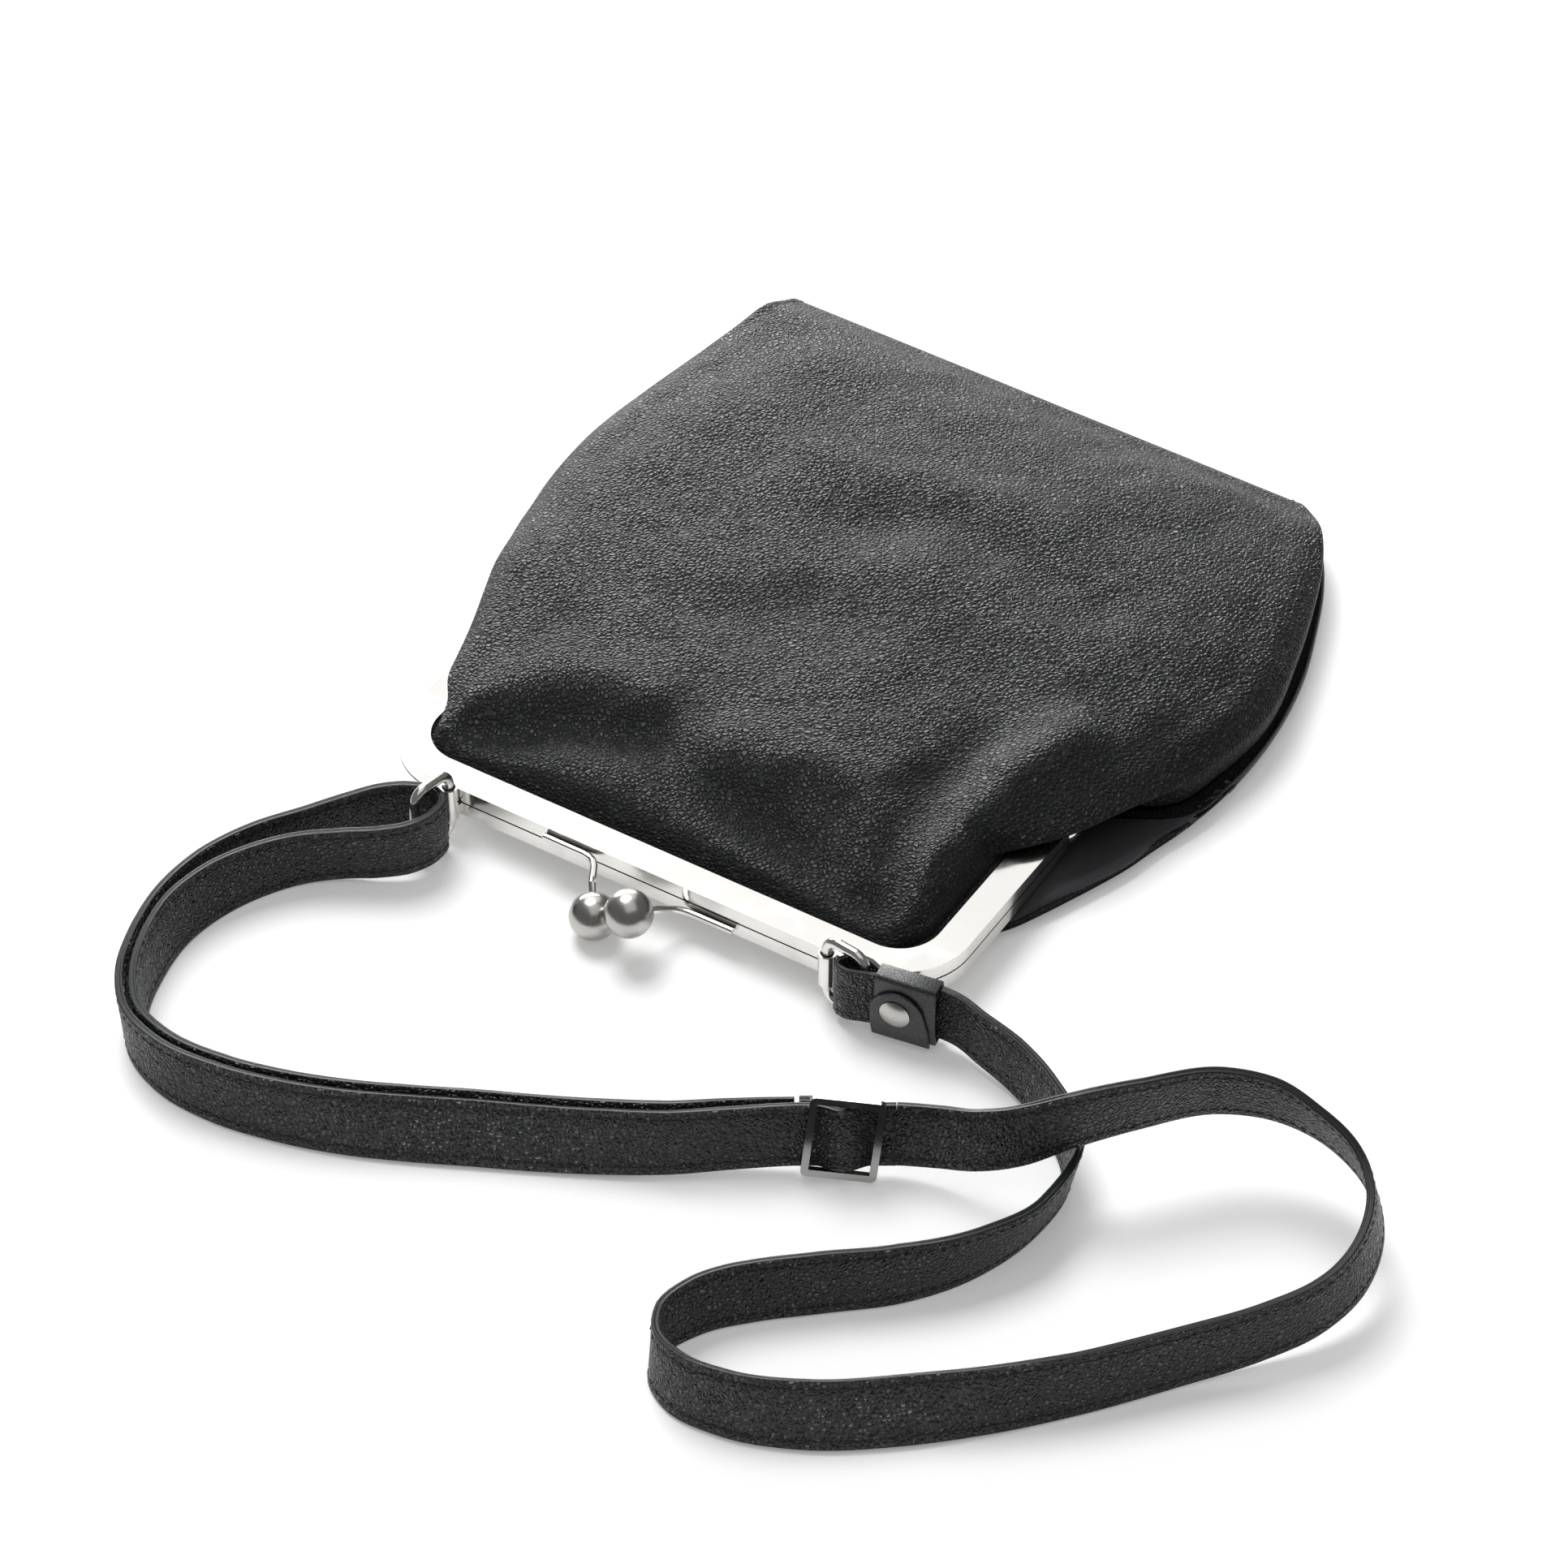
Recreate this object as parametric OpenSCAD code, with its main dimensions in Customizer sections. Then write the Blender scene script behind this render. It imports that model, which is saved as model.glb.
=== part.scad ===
// Kiss lock frame purse lying on its back, with its shoulder strap.
// Modelled with the bar's outer wall at Y = 0, the bag's bottom towards +Y and the table at Z = 0.
// The finished model is moved along Y so that its origin lies on the underside, where it rests.

/* [Frame] */
// Outer width of the frame across its legs
frame_w = 200; // [180:1:220]
// Outer radius of the frame's corners
corner_r = 24; // [20:1:28]
// Distance from the bar's outer wall to the hinge rivets
hinge_drop = 87; // [80:1:96]
// Width of the channel's flat face
face_w = 10; // [9:0.5:11]
// Thickness of one half's channel along the bar
half_t = 4.8; // [4.6:0.1:5.4]
// Thickness of one half's leg beside the hinge
leg_tip_t = 2.9; // [2.6:0.1:3.4]
// Thickness of the channel's sheet
sheet_t = 0.8; // [0.7:0.05:0.9]
// Gap between the two closed halves
mid_gap = 0.6; // [0.4:0.1:1]
// Height of the frame's underside above the table
frame_lift = 6.8; // [6.6:0.1:8]
// Radius of the round ear at each leg's end
ear_r = 3.8; // [3.4:0.1:4.2]
// Thickness of each ear
ear_t = 0.9; // [0.7:0.1:1]
// Radius of the hinge rivets' shafts
rivet_r = 1.5; // [1.2:0.1:1.8]
// Radius of the hinge rivets' domed heads
rivet_head_r = 3.7; // [3:0.1:4]
// Height of the hinge rivets' domed heads
rivet_head_h = 1.4; // [1:0.1:2]

/* [Kiss lock] */
// Diameter of the two balls
ball_d = 15; // [12:0.5:16]
// Radius of the wire that carries the balls
shank_r = 1.2; // [1:0.1:1.4]
// Length of the shanks' feet that are soldered along the bar
foot_l = 18; // [12:1:24]

/* [Bag] */
// Distance from the bar's outer wall to the bag's bottom seam
bag_depth = 266; // [240:1:290]
// Height of the bag's crown above the table
bag_h = 29.5; // [26:0.5:32]
// Thickness of the outer leather
leather_t = 1.2; // [1:0.1:1.3]
// Thickness of the lining
lining_t = 0.5; // [0.4:0.05:0.6]
// Thickness of the paper cord pressed into the channel
cord_t = 0.8; // [0.6:0.1:0.9]
// Width of the paper cord
cord_w = 2.5; // [2:0.5:3.5]

/* [Rings] */
// Distance of the ring lugs from the middle of the bar
lug_x = 67.5; // [62:0.5:72]
// Outer radius of the lug tubes
lug_r = 2.8; // [2.6:0.1:3.2]
// Radius of the lug tubes' bores
lug_bore_r = 2.1; // [2:0.05:2.2]
// Length of the lug tubes
lug_l = 12; // [9:0.5:14]
// Radius of the ring wire
ring_wire_r = 1.7; // [1.4:0.1:1.8]
// How much higher the ring's window is than the strap
ring_window_gap = 0.6; // [0.4:0.1:2]
// Width of the ring's window
ring_window_w = 11.2; // [10.5:0.1:13]

/* [Strap] */
// Width of the strap
strap_w = 20; // [18:0.5:20]
// Thickness of the strap
strap_t = 2.6; // [2.2:0.1:2.8]
// Thickness of the strap's skived ends
skived_t = 1.6; // [1.3:0.1:1.8]
// Thickness of the keeper's leather
keeper_t = 1.1; // [0.9:0.05:1.1]
// Length of the keeper along the strap
keeper_l = 19.4; // [17:0.2:21]

/* [Snap] */
// Radius of the snap's cap
cap_r = 4.7; // [4:0.1:5.2]
// Height of the snap's domed cap
cap_h = 1.5; // [1.1:0.1:2]
// Radius of the snap's stud
stud_r = 1.65; // [1.5:0.05:1.75]

/* [Slider] */
// Length of the slider along the strap
slider_l = 22; // [20:0.5:25]
// Width of the slider's bars, seen from the front
slider_bar_w = 2.2; // [1.8:0.1:2.4]
// Thickness of the slider's bars
slider_bar_t = 2.2; // [1.8:0.1:2.4]
// How much higher the slider's window is than the strap
slider_window_gap = 1.6; // [1:0.1:3]

/* [Hidden] */

$fn = 48;
tiny = 0.01;
// Face to face gap of parts that are glued or pressed together
seat_gap = 0.05;
// Radial gap that is filled with solder
solder_gap = 0.15;
// Gap between two layers of leather that lie on each other
ply_gap = 0.2;
// Gap between faces of parts that move apart
run_gap = 0.3;
// Radial clearance of the rivets in the ear that turns
rivet_clearance = 0.06;
// Radial gap of pieces that are riveted or pressed on
press_gap = 0.03;
// Distance from the bar to the middle of the flat patch that the bag rests on
rest_y = 130;

nickel = [0.80, 0.79, 0.75];
satin_nickel = [0.70, 0.69, 0.65];
dark_nickel = [0.45, 0.45, 0.44];
bag_leather = [0.17, 0.175, 0.18];
strap_leather = [0.12, 0.14, 0.145];
lining_colour = [0.22, 0.22, 0.24];
paper_colour = [0.72, 0.62, 0.46];

ring_window_h = strap_w + ring_window_gap;
slider_window_h = strap_w + slider_window_gap;
half_w = frame_w / 2;
mid_z = frame_lift + half_t + mid_gap / 2;
// Heights below are measured from the plane between the two halves
plate_low = mid_gap / 2;
plate_high = plate_low + half_t;
// The legs grow thinner in two steps between these distances from the bar
taper_start = corner_r + 6;
taper_knee = hinge_drop - 17;
leg_end = hinge_drop - ear_r - 0.5;
knee_high = plate_high - 0.6;
tip_high = plate_low + leg_tip_t;
slot_end = taper_knee - 1;

module placed() { translate([0, -rest_y, 0]) children(); }

// Moves a half that is drawn upwards from the middle plane to the front or to the back side
module on_side(front) {
  translate([0, 0, mid_z]) {
    if (front) children();
    else mirror([0, 0, 1]) children();
  }
}

// Plan of everything inside the frame's outline, drawn in by inset
module bow_plan(inset, end_y) {
  r = corner_r - inset;
  translate([-half_w + inset, corner_r])
    square([frame_w - 2 * inset, end_y - corner_r]);
  translate([-half_w + corner_r, inset])
    square([frame_w - 2 * corner_r, corner_r - inset + tiny]);
  for (s = [-1, 1])
    translate([s * (half_w - corner_r), corner_r]) circle(r, $fn = 96);
}

// Plan of a band along the frame between two insets
module bow_band(outer, inner, end_y) {
  difference() {
    bow_plan(outer, end_y);
    bow_plan(inner, end_y + 1);
  }
}

// Everything above the sloping line of the legs, lowered by drop
module above_legs(drop) {
  outline = [
    [taper_start, plate_high - drop], [taper_knee, knee_high - drop],
    [leg_end + 1, tip_high - drop], [leg_end + 1, plate_high + 1],
    [-1, plate_high + 1], [-1, plate_high - drop]];
  translate([-half_w - 1, 0, 0])
    rotate([90, 0, 90]) linear_extrude(frame_w + 2) polygon(outline);
}

// The inner corner that is cut from each leg's plate towards the hinge
module leg_corner_cut() {
  for (s = [-1, 1])
    translate([0, 0, -tiny]) linear_extrude(plate_high + 1)
      polygon([
        [s * (half_w - face_w - 1), taper_knee - 6],
        [s * (half_w - face_w), taper_knee - 6],
        [s * (half_w - 4), leg_end + tiny],
        [s * (half_w - face_w - 1), leg_end + tiny]]);
}

// One half's bent channel, open towards the bag
module half_channel() {
  difference() {
    translate([0, 0, plate_low]) linear_extrude(half_t) bow_band(0, face_w, leg_end);
    above_legs(0);
    leg_corner_cut();
    difference() {
      translate([0, 0, plate_low + sheet_t])
        linear_extrude(half_t - 2 * sheet_t) bow_band(sheet_t, face_w + 1, slot_end);
      above_legs(sheet_t);
    }
  }
}

// A half's ear beside the rivet, with its outer face at distance x from the middle
module ear(x, hole_r) {
  neck = [
    [taper_knee + 6, plate_low + tiny], [leg_end, plate_low + tiny],
    [hinge_drop - 1, 0], [hinge_drop, ear_r - tiny],
    [leg_end - 1, tip_high - 0.1], [taper_knee + 6, tip_high - 0.1]];
  for (s = [-1, 1])
    translate([s > 0 ? x - ear_t : -x, 0, 0])
      rotate([90, 0, 90]) difference() {
        linear_extrude(ear_t) union() {
          translate([hinge_drop, 0]) circle(ear_r);
          polygon(neck);
        }
        translate([hinge_drop, 0, -1]) cylinder(h = ear_t + 2, r = hole_r);
      }
}

outer_ear_x = half_w;
inner_ear_x = half_w - ear_t - 0.2;

module front_frame() {
  color(nickel) on_side(true) {
    half_channel();
    ear(outer_ear_x, rivet_r + rivet_clearance);
  }
}

module back_frame() {
  color(nickel) on_side(false) {
    half_channel();
    ear(inner_ear_x, rivet_r + press_gap);
  }
}

// A shallow dome on the plane Z = 0
module dome(r, h) {
  ball_r = (r * r + h * h) / (2 * h);
  intersection() {
    translate([0, 0, h - ball_r]) sphere(ball_r, $fn = 96);
    cylinder(h = h + 1, r = r);
  }
}

// A rivet on the right side, with its domed head outside
module hinge_rivet() {
  head_x = outer_ear_x + 0.1;
  tail_x = inner_ear_x - ear_t - 0.1;
  translate([0, hinge_drop, mid_z]) rotate([0, 90, 0]) {
    translate([0, 0, head_x]) dome(rivet_head_r, rivet_head_h);
    translate([0, 0, tail_x - 0.4]) cylinder(h = head_x - tail_x + 0.5, r = rivet_r);
    translate([0, 0, tail_x - 0.8]) cylinder(h = 0.8, r = rivet_r + 0.9);
  }
}

module right_rivet() { color(nickel) hinge_rivet(); }
module left_rivet() { color(nickel) mirror([1, 0, 0]) hinge_rivet(); }

// Stiff paper cord that wedges leather and lining into the channel
module paper_cord() {
  inset = sheet_t + 0.4;
  translate([0, 0, plate_low + sheet_t + seat_gap])
    linear_extrude(cord_t) bow_band(inset, inset + cord_w, taper_knee - 12);
}

module front_paper_cord() { color(paper_colour) on_side(true) paper_cord(); }
module back_paper_cord() { color(paper_colour) on_side(false) paper_cord(); }

// Smooth helpers for the soft parts
function clamp01(t) = min(1, max(0, t));
function ease(t) = let (c = clamp01(t)) c * c * (3 - 2 * c);
function blend(a, b, t) = a + (b - a) * t;
// Smooth curve through a short table of [place, value]
function tangent_at(tab, i) =
  let (a = max(0, i - 1), b = min(len(tab) - 1, i + 1))
  (tab[b][1] - tab[a][1]) / (tab[b][0] - tab[a][0]);
function curve_span(tab, x, i = 0) =
  i >= len(tab) - 2 || x < tab[i + 1][0] ? i : curve_span(tab, x, i + 1);
function curve(tab, x) =
  let (
    i = curve_span(tab, x), w = tab[i + 1][0] - tab[i][0],
    t = clamp01((x - tab[i][0]) / w), t2 = t * t, t3 = t2 * t)
  (2 * t3 - 3 * t2 + 1) * tab[i][1] + (t3 - 2 * t2 + t) * w * tangent_at(tab, i)
  + (3 * t2 - 2 * t3) * tab[i + 1][1] + (t3 - t2) * w * tangent_at(tab, i + 1);

// Stations run from 0 at the bar to 1 at the hinge and 2 at the bottom seam
function station_y(s) =
  s < 1 ? s * hinge_drop : hinge_drop + (s - 1) * (bag_depth - hinge_drop);

// How far each panel's fold stands out past the legs' outer faces, by station
front_right_out = [[0, -13], [0.23, -13], [0.45, -15], [0.69, -16], [0.88, -10], [1, -4],
  [1.1, 9], [1.21, 20], [1.38, 27], [1.58, 21], [1.8, 9], [1.9, 0], [1.96, -9], [2, -18]];
front_left_out = [[0, -13], [0.23, -12], [0.45, -5], [0.6, -1], [0.8, 5], [1, 12],
  [1.21, 21], [1.38, 26], [1.55, 24], [1.75, 18], [1.93, 13], [2, 10]];
back_right_out = [[0, -13], [0.3, -12], [0.44, -3], [0.66, 10], [1, 22],
  [1.21, 30], [1.38, 29], [1.58, 23], [1.8, 10], [1.9, 1], [1.96, -8], [2, -17]];
back_left_out = [[0, -13], [0.3, -12], [0.45, -8], [0.65, 0], [1, 11],
  [1.21, 22], [1.38, 27], [1.55, 25], [1.75, 19], [1.93, 14], [2, 11]];
// Share of the crown's height that the front panel has along its middle, by station
front_crown = [[0.12, 0.2], [0.16, 0.42], [0.22, 0.56], [0.32, 0.66], [0.5, 0.76],
  [0.8, 0.9], [1, 0.96], [1.2, 1], [1.4, 0.99], [1.6, 0.85], [1.8, 0.56],
  [1.9, 0.3], [1.96, 0.02], [1.99, -0.13], [2, -0.23]];
// Share of the drop to the table that the back panel has along its middle, by station
back_drop = [[0.12, 0.32], [0.17, 0.42], [0.25, 0.68], [0.36, 0.92], [0.45, 1],
  [1.94, 1], [1.975, 0.87], [1.993, 0.65], [2, 0.44]];
// Stations of the panels' rows
row_stations = [0.016, 0.07, 0.12, 0.14, 0.16, 0.19, 0.25, 0.33, 0.44, 0.56, 0.68, 0.79,
  0.9, 1.03, 1.06, 1.09, 1.12, 1.15, 1.18, 1.27, 1.42, 1.58, 1.72, 1.83, 1.91, 1.96, 1.985, 2];

crown_h = bag_h - leather_t / 2 - mid_z;
table_drop = mid_z - leather_t / 2;
// Height of the side seams, which lie below the frame's middle plane
seam_h = -3.4;
back_seam_h = -seam_h + leather_t + seat_gap;

// Height of the legs' outer plate at distance y from the bar
function plate_h(y) =
  y < taper_start ? plate_high
  : blend(plate_high, knee_high, clamp01((y - taper_start) / (taper_knee - taper_start)));
// Distance of the leather's bend from the channel's lip
lip_gap = 0.5;
// Height of the leather's middle inside the slot
function slot_h(y) = plate_h(y) - sheet_t - 2 * seat_gap - leather_t / 2;
// Distance from the middle to the frame's outline drawn in by inset, at distance y from the bar
function outline_x(inset, y) =
  let (r = corner_r - inset, dy = corner_r - max(y, inset))
  y >= corner_r ? half_w - inset : half_w - corner_r + sqrt(max(0, r * r - dy * dy));

// Stations between which the side seams close below the hinges
close_from = 1.02;
close_to = 1.18;

// Points of a panel's edge from the slot or seam to its fold: [distance from middle, height]
function edge_points(s, out_tab, seam_tab, rise, seam_at) =
  let (
    y = station_y(s),
    closed = ease((s - close_from) / (close_to - close_from)),
    mouth = outline_x(face_w + lip_gap, y),
    fold = outline_x(-curve(out_tab, s), y),
    over = ease((fold - mouth) / 8),
    lip = clamp01((y - face_w - lip_gap) / 6),
    hs = slot_h(y),
    deep = blend(outline_x(sheet_t + lip_gap, y), mouth + 0.1, ease((y - slot_end + 4) / 3)),
    seam = half_w + curve(seam_tab, s) - 1.5,
    over_h = plate_high + run_gap + leather_t / 2 + 0.2,
    open_pts = [
      [deep, hs],
      [mouth, hs],
      [mouth - 0.6 - 1.1 * lip, hs + 0.9 * lip],
      [blend(mouth - 1.1 - lip, mouth - 0.9, over), blend(hs + 1.9 * lip, over_h, over)],
      [blend(mouth - 1.6 - 0.9 * lip, (mouth + fold) / 2, over),
        blend(hs + 2.8 * lip, over_h + 0.2, over)],
      [blend(mouth - 2.2 - 0.8 * lip, fold, over), blend(hs + 3.6 * lip, over_h + 1.6, over)]],
    seam_pts = [for (k = [0:5])
      let (a = k / 5)
      [seam + (fold - seam) * sin(90 * min(1, a * 1.2)), blend(seam_at, seam_at + rise, a)]])
  [for (k = [0:5]) blend(open_pts[k], seam_pts[k], closed)];

// The middle of a row stays level with the slot as far as the hinges
function row_top(s, h) = s < 1 ? max(slot_h(station_y(s)), h) : h;

across = 12;
// One row of a panel from its left edge to its right edge
function panel_row(s, left_tab, right_tab, left_seam, right_seam, top, rise, seam_at, power) =
  let (
    y = station_y(s),
    l = edge_points(s, left_tab, left_seam, rise, seam_at),
    r = edge_points(s, right_tab, right_seam, rise, seam_at),
    xl = -l[5][0], xr = r[5][0], base = (l[5][1] + r[5][1]) / 2)
  concat(
    [for (k = [0:5]) [-l[k][0], y, l[k][1]]],
    [for (k = [1:across - 1])
      let (
        f = 0.5 - 0.5 * cos(180 * k / across),
        level = pow(max(0, 1 - pow(abs(2 * f - 1), power)), 1 / power))
      [blend(xl, xr, f), y, blend(blend(l[5][1], r[5][1], f), top, level)]],
    [for (k = [5:-1:0]) [r[k][0], y, r[k][1]]]);

front_grid = [for (s = row_stations)
  panel_row(s, front_left_out, front_right_out, front_left_out, front_right_out,
    row_top(s, crown_h * curve(front_crown, s)),
    min(8, crown_h * curve(front_crown, s) - seam_h), seam_h, 2.4)];

back_grid = [for (s = row_stations)
  panel_row(s, back_left_out, back_right_out, front_left_out, front_right_out,
    row_top(s, table_drop * curve(back_drop, s)),
    0.3 * (table_drop * curve(back_drop, s) + seam_h), back_seam_h, 5)];

// Unit normal of a grid of points at row i and column j
function grid_normal(g, i, j) =
  let (
    a = g[min(len(g) - 1, i + 1)][j] - g[max(0, i - 1)][j],
    b = g[i][min(len(g[0]) - 1, j + 1)] - g[i][max(0, j - 1)],
    n = cross(b, a))
  n / max(norm(n), 1e-6);

// Closed sheet between two distances from a grid of middle points, nowhere higher than limit,
// which leaves out as many of the grid's outer rows and columns as asked
module sheet(g, low, high, limit, skip_rows = 0, skip_cols = 0) {
  rows = len(g) - 2 * skip_rows;
  cols = len(g[0]) - 2 * skip_cols;
  skin = function(d) [for (i = [0:rows - 1]) for (j = [0:cols - 1])
    let (
      m = i + skip_rows, c = j + skip_cols,
      p = g[m][c] + d * grid_normal(g, m, c)) [p[0], p[1], min(p[2], limit)]];
  n = rows * cols;
  top_faces = [for (i = [0:rows - 2]) for (j = [0:cols - 2])
    let (a = i * cols + j) each [[a, a + cols, a + 1], [a + 1, a + cols, a + cols + 1]]];
  low_faces = [for (f = top_faces) [f[0] + n, f[2] + n, f[1] + n]];
  rim = concat(
    [for (j = [0:cols - 1]) j],
    [for (i = [1:rows - 1]) i * cols + cols - 1],
    [for (j = [cols - 2:-1:0]) (rows - 1) * cols + j],
    [for (i = [rows - 2:-1:1]) i * cols]);
  rim_faces = [for (k = [0:len(rim) - 1])
    let (a = rim[k], b = rim[(k + 1) % len(rim)]) each [[a, b, b + n], [a, b + n, a + n]]];
  polyhedron(concat(skin(high), skin(low)), concat(top_faces, low_faces, rim_faces));
}

// The lining hangs a little way inside the leather and ends short of the slot and the seams
lining_high = -leather_t / 2 - seat_gap;
lining_rows = 2;
lining_cols = 3;

module front_panel() {
  color(bag_leather) on_side(true) sheet(front_grid, -leather_t / 2, leather_t / 2, bag_h);
}
module back_panel() {
  color(bag_leather) on_side(false) sheet(back_grid, -leather_t / 2, leather_t / 2, mid_z);
}
module front_lining() {
  color(lining_colour) on_side(true)
    sheet(front_grid, lining_high - lining_t, lining_high, bag_h, lining_rows, lining_cols);
}
module back_lining() {
  color(lining_colour) on_side(false)
    sheet(back_grid, lining_high - lining_t, lining_high, mid_z, lining_rows, lining_cols);
}

// Kiss lock: each half's ball stands before the other half's bar
ball_r = ball_d / 2;
lock_y = -ball_r - 9.2;
front_ball_at = [-6.3, lock_y + 0.2, ball_r + 0.1];
back_ball_at = [6.8, lock_y - 0.2, front_ball_at[2] + 8.2];
shank_y = -shank_r - seat_gap;
front_shank_z = mid_z + plate_low + 2.2;
back_shank_z = mid_z - plate_low - 2.4;
front_bend = [-16, shank_y - 0.4, front_shank_z];
back_bend = [15.5, shank_y - 0.4, back_shank_z];

// How far the shanks reach into the balls' bores, from the balls' middles
shank_end = ball_r - 2;
front_shank_dir = [-0.46, 0.65, 0.61];
back_shank_dir = [0.47, 0.83, -0.29];

front_shank_route = [
  front_bend - [foot_l, -0.4, 0], front_bend - [foot_l / 2, -0.3, 0], front_bend - [2, -0.1, 0],
  front_bend + [1.6, -2.2, 0.1], front_ball_at + 10 * front_shank_dir,
  front_ball_at + shank_end * front_shank_dir];
back_shank_route = [
  back_bend + [foot_l, 0.4, 0], back_bend + [foot_l / 2, 0.3, 0], back_bend + [2, 0.1, 0],
  back_bend + [-1.6, -1.8, 0.8], back_ball_at + 10 * back_shank_dir,
  back_ball_at + shank_end * back_shank_dir];

// Round wire of radius r swept along a smooth route that is nowhere upright
module wire(route, r, steps) {
  sides = 12;
  count = (len(route) - 1) * steps;
  ring = function(k)
    let (
      u = k / steps, q = route_point(route, u),
      a = route_point(route, max(0, u - 0.1)), b = route_point(route, min(len(route) - 1, u + 0.1)),
      along = (b - a) / norm(b - a), side = cross(along, [0, 0, 1]) / norm(cross(along, [0, 0, 1])),
      up = cross(along, side))
    [for (j = [0:sides - 1]) q + r * (side * cos(360 * j / sides) + up * sin(360 * j / sides))];
  walls = [for (k = [0:count - 1]) for (j = [0:sides - 1])
    let (a = k * sides + j, b = k * sides + (j + 1) % sides)
    each [[a, b + sides, b], [a, a + sides, b + sides]]];
  ends = [for (j = [1:sides - 2]) each [[0, j, j + 1],
    [count * sides, count * sides + j + 1, count * sides + j]]];
  polyhedron([for (k = [0:count]) each ring(k)], concat(walls, ends));
}

// Ball at a place, bored for the shank that comes from the direction dir
module ball(place, dir) {
  v = dir / norm(dir);
  translate(place) difference() {
    sphere(ball_r, $fn = 64);
    rotate([0, acos(v[2]), atan2(v[1], v[0])]) translate([0, 0, shank_end - 0.2])
      cylinder(h = ball_r, r = shank_r + solder_gap);
  }
}

module front_shank() { color(nickel) wire(front_shank_route, shank_r, 4); }
module back_shank() { color(nickel) wire(back_shank_route, shank_r, 4); }
module front_ball() { color(satin_nickel) ball(front_ball_at, front_shank_dir); }
module back_ball() { color(satin_nickel) ball(back_ball_at, back_shank_dir); }

// Rings turn in upright lug tubes on the back half
ring_z = ring_window_h / 2 + 2 * ring_wire_r;
lug_y = -lug_r - run_gap;

module lug(s) {
  wall_low = frame_lift + 0.5;
  wall_high = mid_z - plate_low - 0.4;
  translate([s * lug_x, lug_y, ring_z]) difference() {
    union() {
      translate([0, 0, -lug_l / 2]) cylinder(h = lug_l, r = lug_r);
      translate([-lug_r * 0.7, 0, wall_low - ring_z])
        cube([lug_r * 1.4, -lug_y - seat_gap, wall_high - wall_low]);
    }
    translate([0, 0, -lug_l]) cylinder(h = 2 * lug_l, r = lug_bore_r);
  }
}

module left_lug() { color(nickel) lug(-1); }
module right_lug() { color(nickel) lug(1); }

// Oval ring with one straight side on the Z axis and its window towards +X
module oval_ring() {
  bend = 4.6;
  w = ring_window_w + 2 * ring_wire_r;
  h = ring_window_h + 2 * ring_wire_r;
  r = ring_wire_r;
  translate([0, 0, -h / 2 + bend]) cylinder(h = h - 2 * bend, r = r);
  translate([w, 0, -h / 2 + bend]) cylinder(h = h - 2 * bend, r = r);
  for (s = [-1, 1]) {
    translate([bend, 0, s * h / 2]) rotate([0, 90, 0]) cylinder(h = w - 2 * bend, r = r);
    for (x = [bend, w - bend])
      translate([x, 0, s * (h / 2 - bend)]) rotate([90, 0, 0])
        rotate([0, 0, x > bend ? (s > 0 ? 0 : -90) : (s > 0 ? 90 : 180)])
          rotate_extrude(angle = 90) translate([bend, 0]) circle(r, $fn = 32);
  }
}

left_ring_turn = -101;
right_ring_turn = -7;

module left_ring() {
  color(nickel) translate([-lug_x, lug_y, ring_z])
    rotate([0, 0, left_ring_turn]) oval_ring();
}
module right_ring() {
  color(nickel) translate([lug_x, lug_y, ring_z])
    rotate([0, 0, right_ring_turn]) oval_ring();
}

// The strap stands on its edge. Route points are [x, y, lift above the table, lean, thickness]
lift = 2 * ring_wire_r + 0.2;
t = strap_t;
lug_l_x = -lug_x;

// From the left ring round the left bend to the slider, the layer farther from the bag
outer_route = [
  [lug_l_x - 1, -9.2, lift, 0, t], [lug_l_x - 8.5, -11, lift - 0.4, 0, t],
  [-83.6, -16.3, 2.5, -1, t], [-90.3, -23.2, 1.5, 0, t], [-98, -34.6, 0.5, -1.5, t],
  [-106.8, -49.8, 0, -5.5, t], [-111.4, -65.5, 0, -9.5, t], [-112.2, -83.5, 0, -11, t],
  [-109, -101.5, 0, -9.5, t], [-103.5, -117.5, 0, -5.5, t], [-94, -129.6, 0, -2, t],
  [-77.5, -137.6, 0, 5, t], [-58.3, -139.2, 0, 13, t], [-37.7, -136, 0, 18, t],
  [-18.6, -130.4, 0, 23.5, t], [-1, -123, 0, 28, t], [16, -114.7, 0, 29, t],
  [33, -106.4, 0, 27.5, t], [50.3, -97.4, 0.5, 24, t], [66.7, -88, 1.5, 19, t],
  [82.6, -77, 2.9, 16, t], [95.9, -68.2, 3.9, 16, t], [108.3, -60.5, 4, 16, t]];
// The nearer layer beside it, from the left ring to the slider
inner_route = [
  [lug_l_x + 4.6, -17.5, lift, 0, t], [lug_l_x + 1.4, -25.2, lift - 0.4, 0, t],
  [-73.5, -31.4, 2.4, 1, t], [-83.5, -37, 1.4, 2, t], [-93.3, -44.8, 0.5, -0.5, t],
  [-101, -56, 0, -5, t], [-106, -69.5, 0, -9.5, t], [-107.9, -85, 0, -11, t],
  [-105.4, -100.6, 0, -9.5, t], [-100.3, -115, 0, -5.5, t], [-91.9, -126.4, 0, -2, t],
  [-76.8, -133.8, 0, 5, t], [-58.3, -135.5, 0, 13, t], [-38.6, -132.4, 0, 18, t],
  [-20, -126.9, 0, 23.5, t], [-2.5, -119.6, 0, 28, t], [14.4, -111.3, 0, 29, t],
  [31.3, -103.1, 0, 27.5, t], [48.4, -94.2, 0.5, 24, t], [64.7, -84.9, 1.5, 19, t],
  [80.7, -74, 2.9, 16, skived_t], [95.6, -65.2, 3.9, 16, skived_t]];
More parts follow.
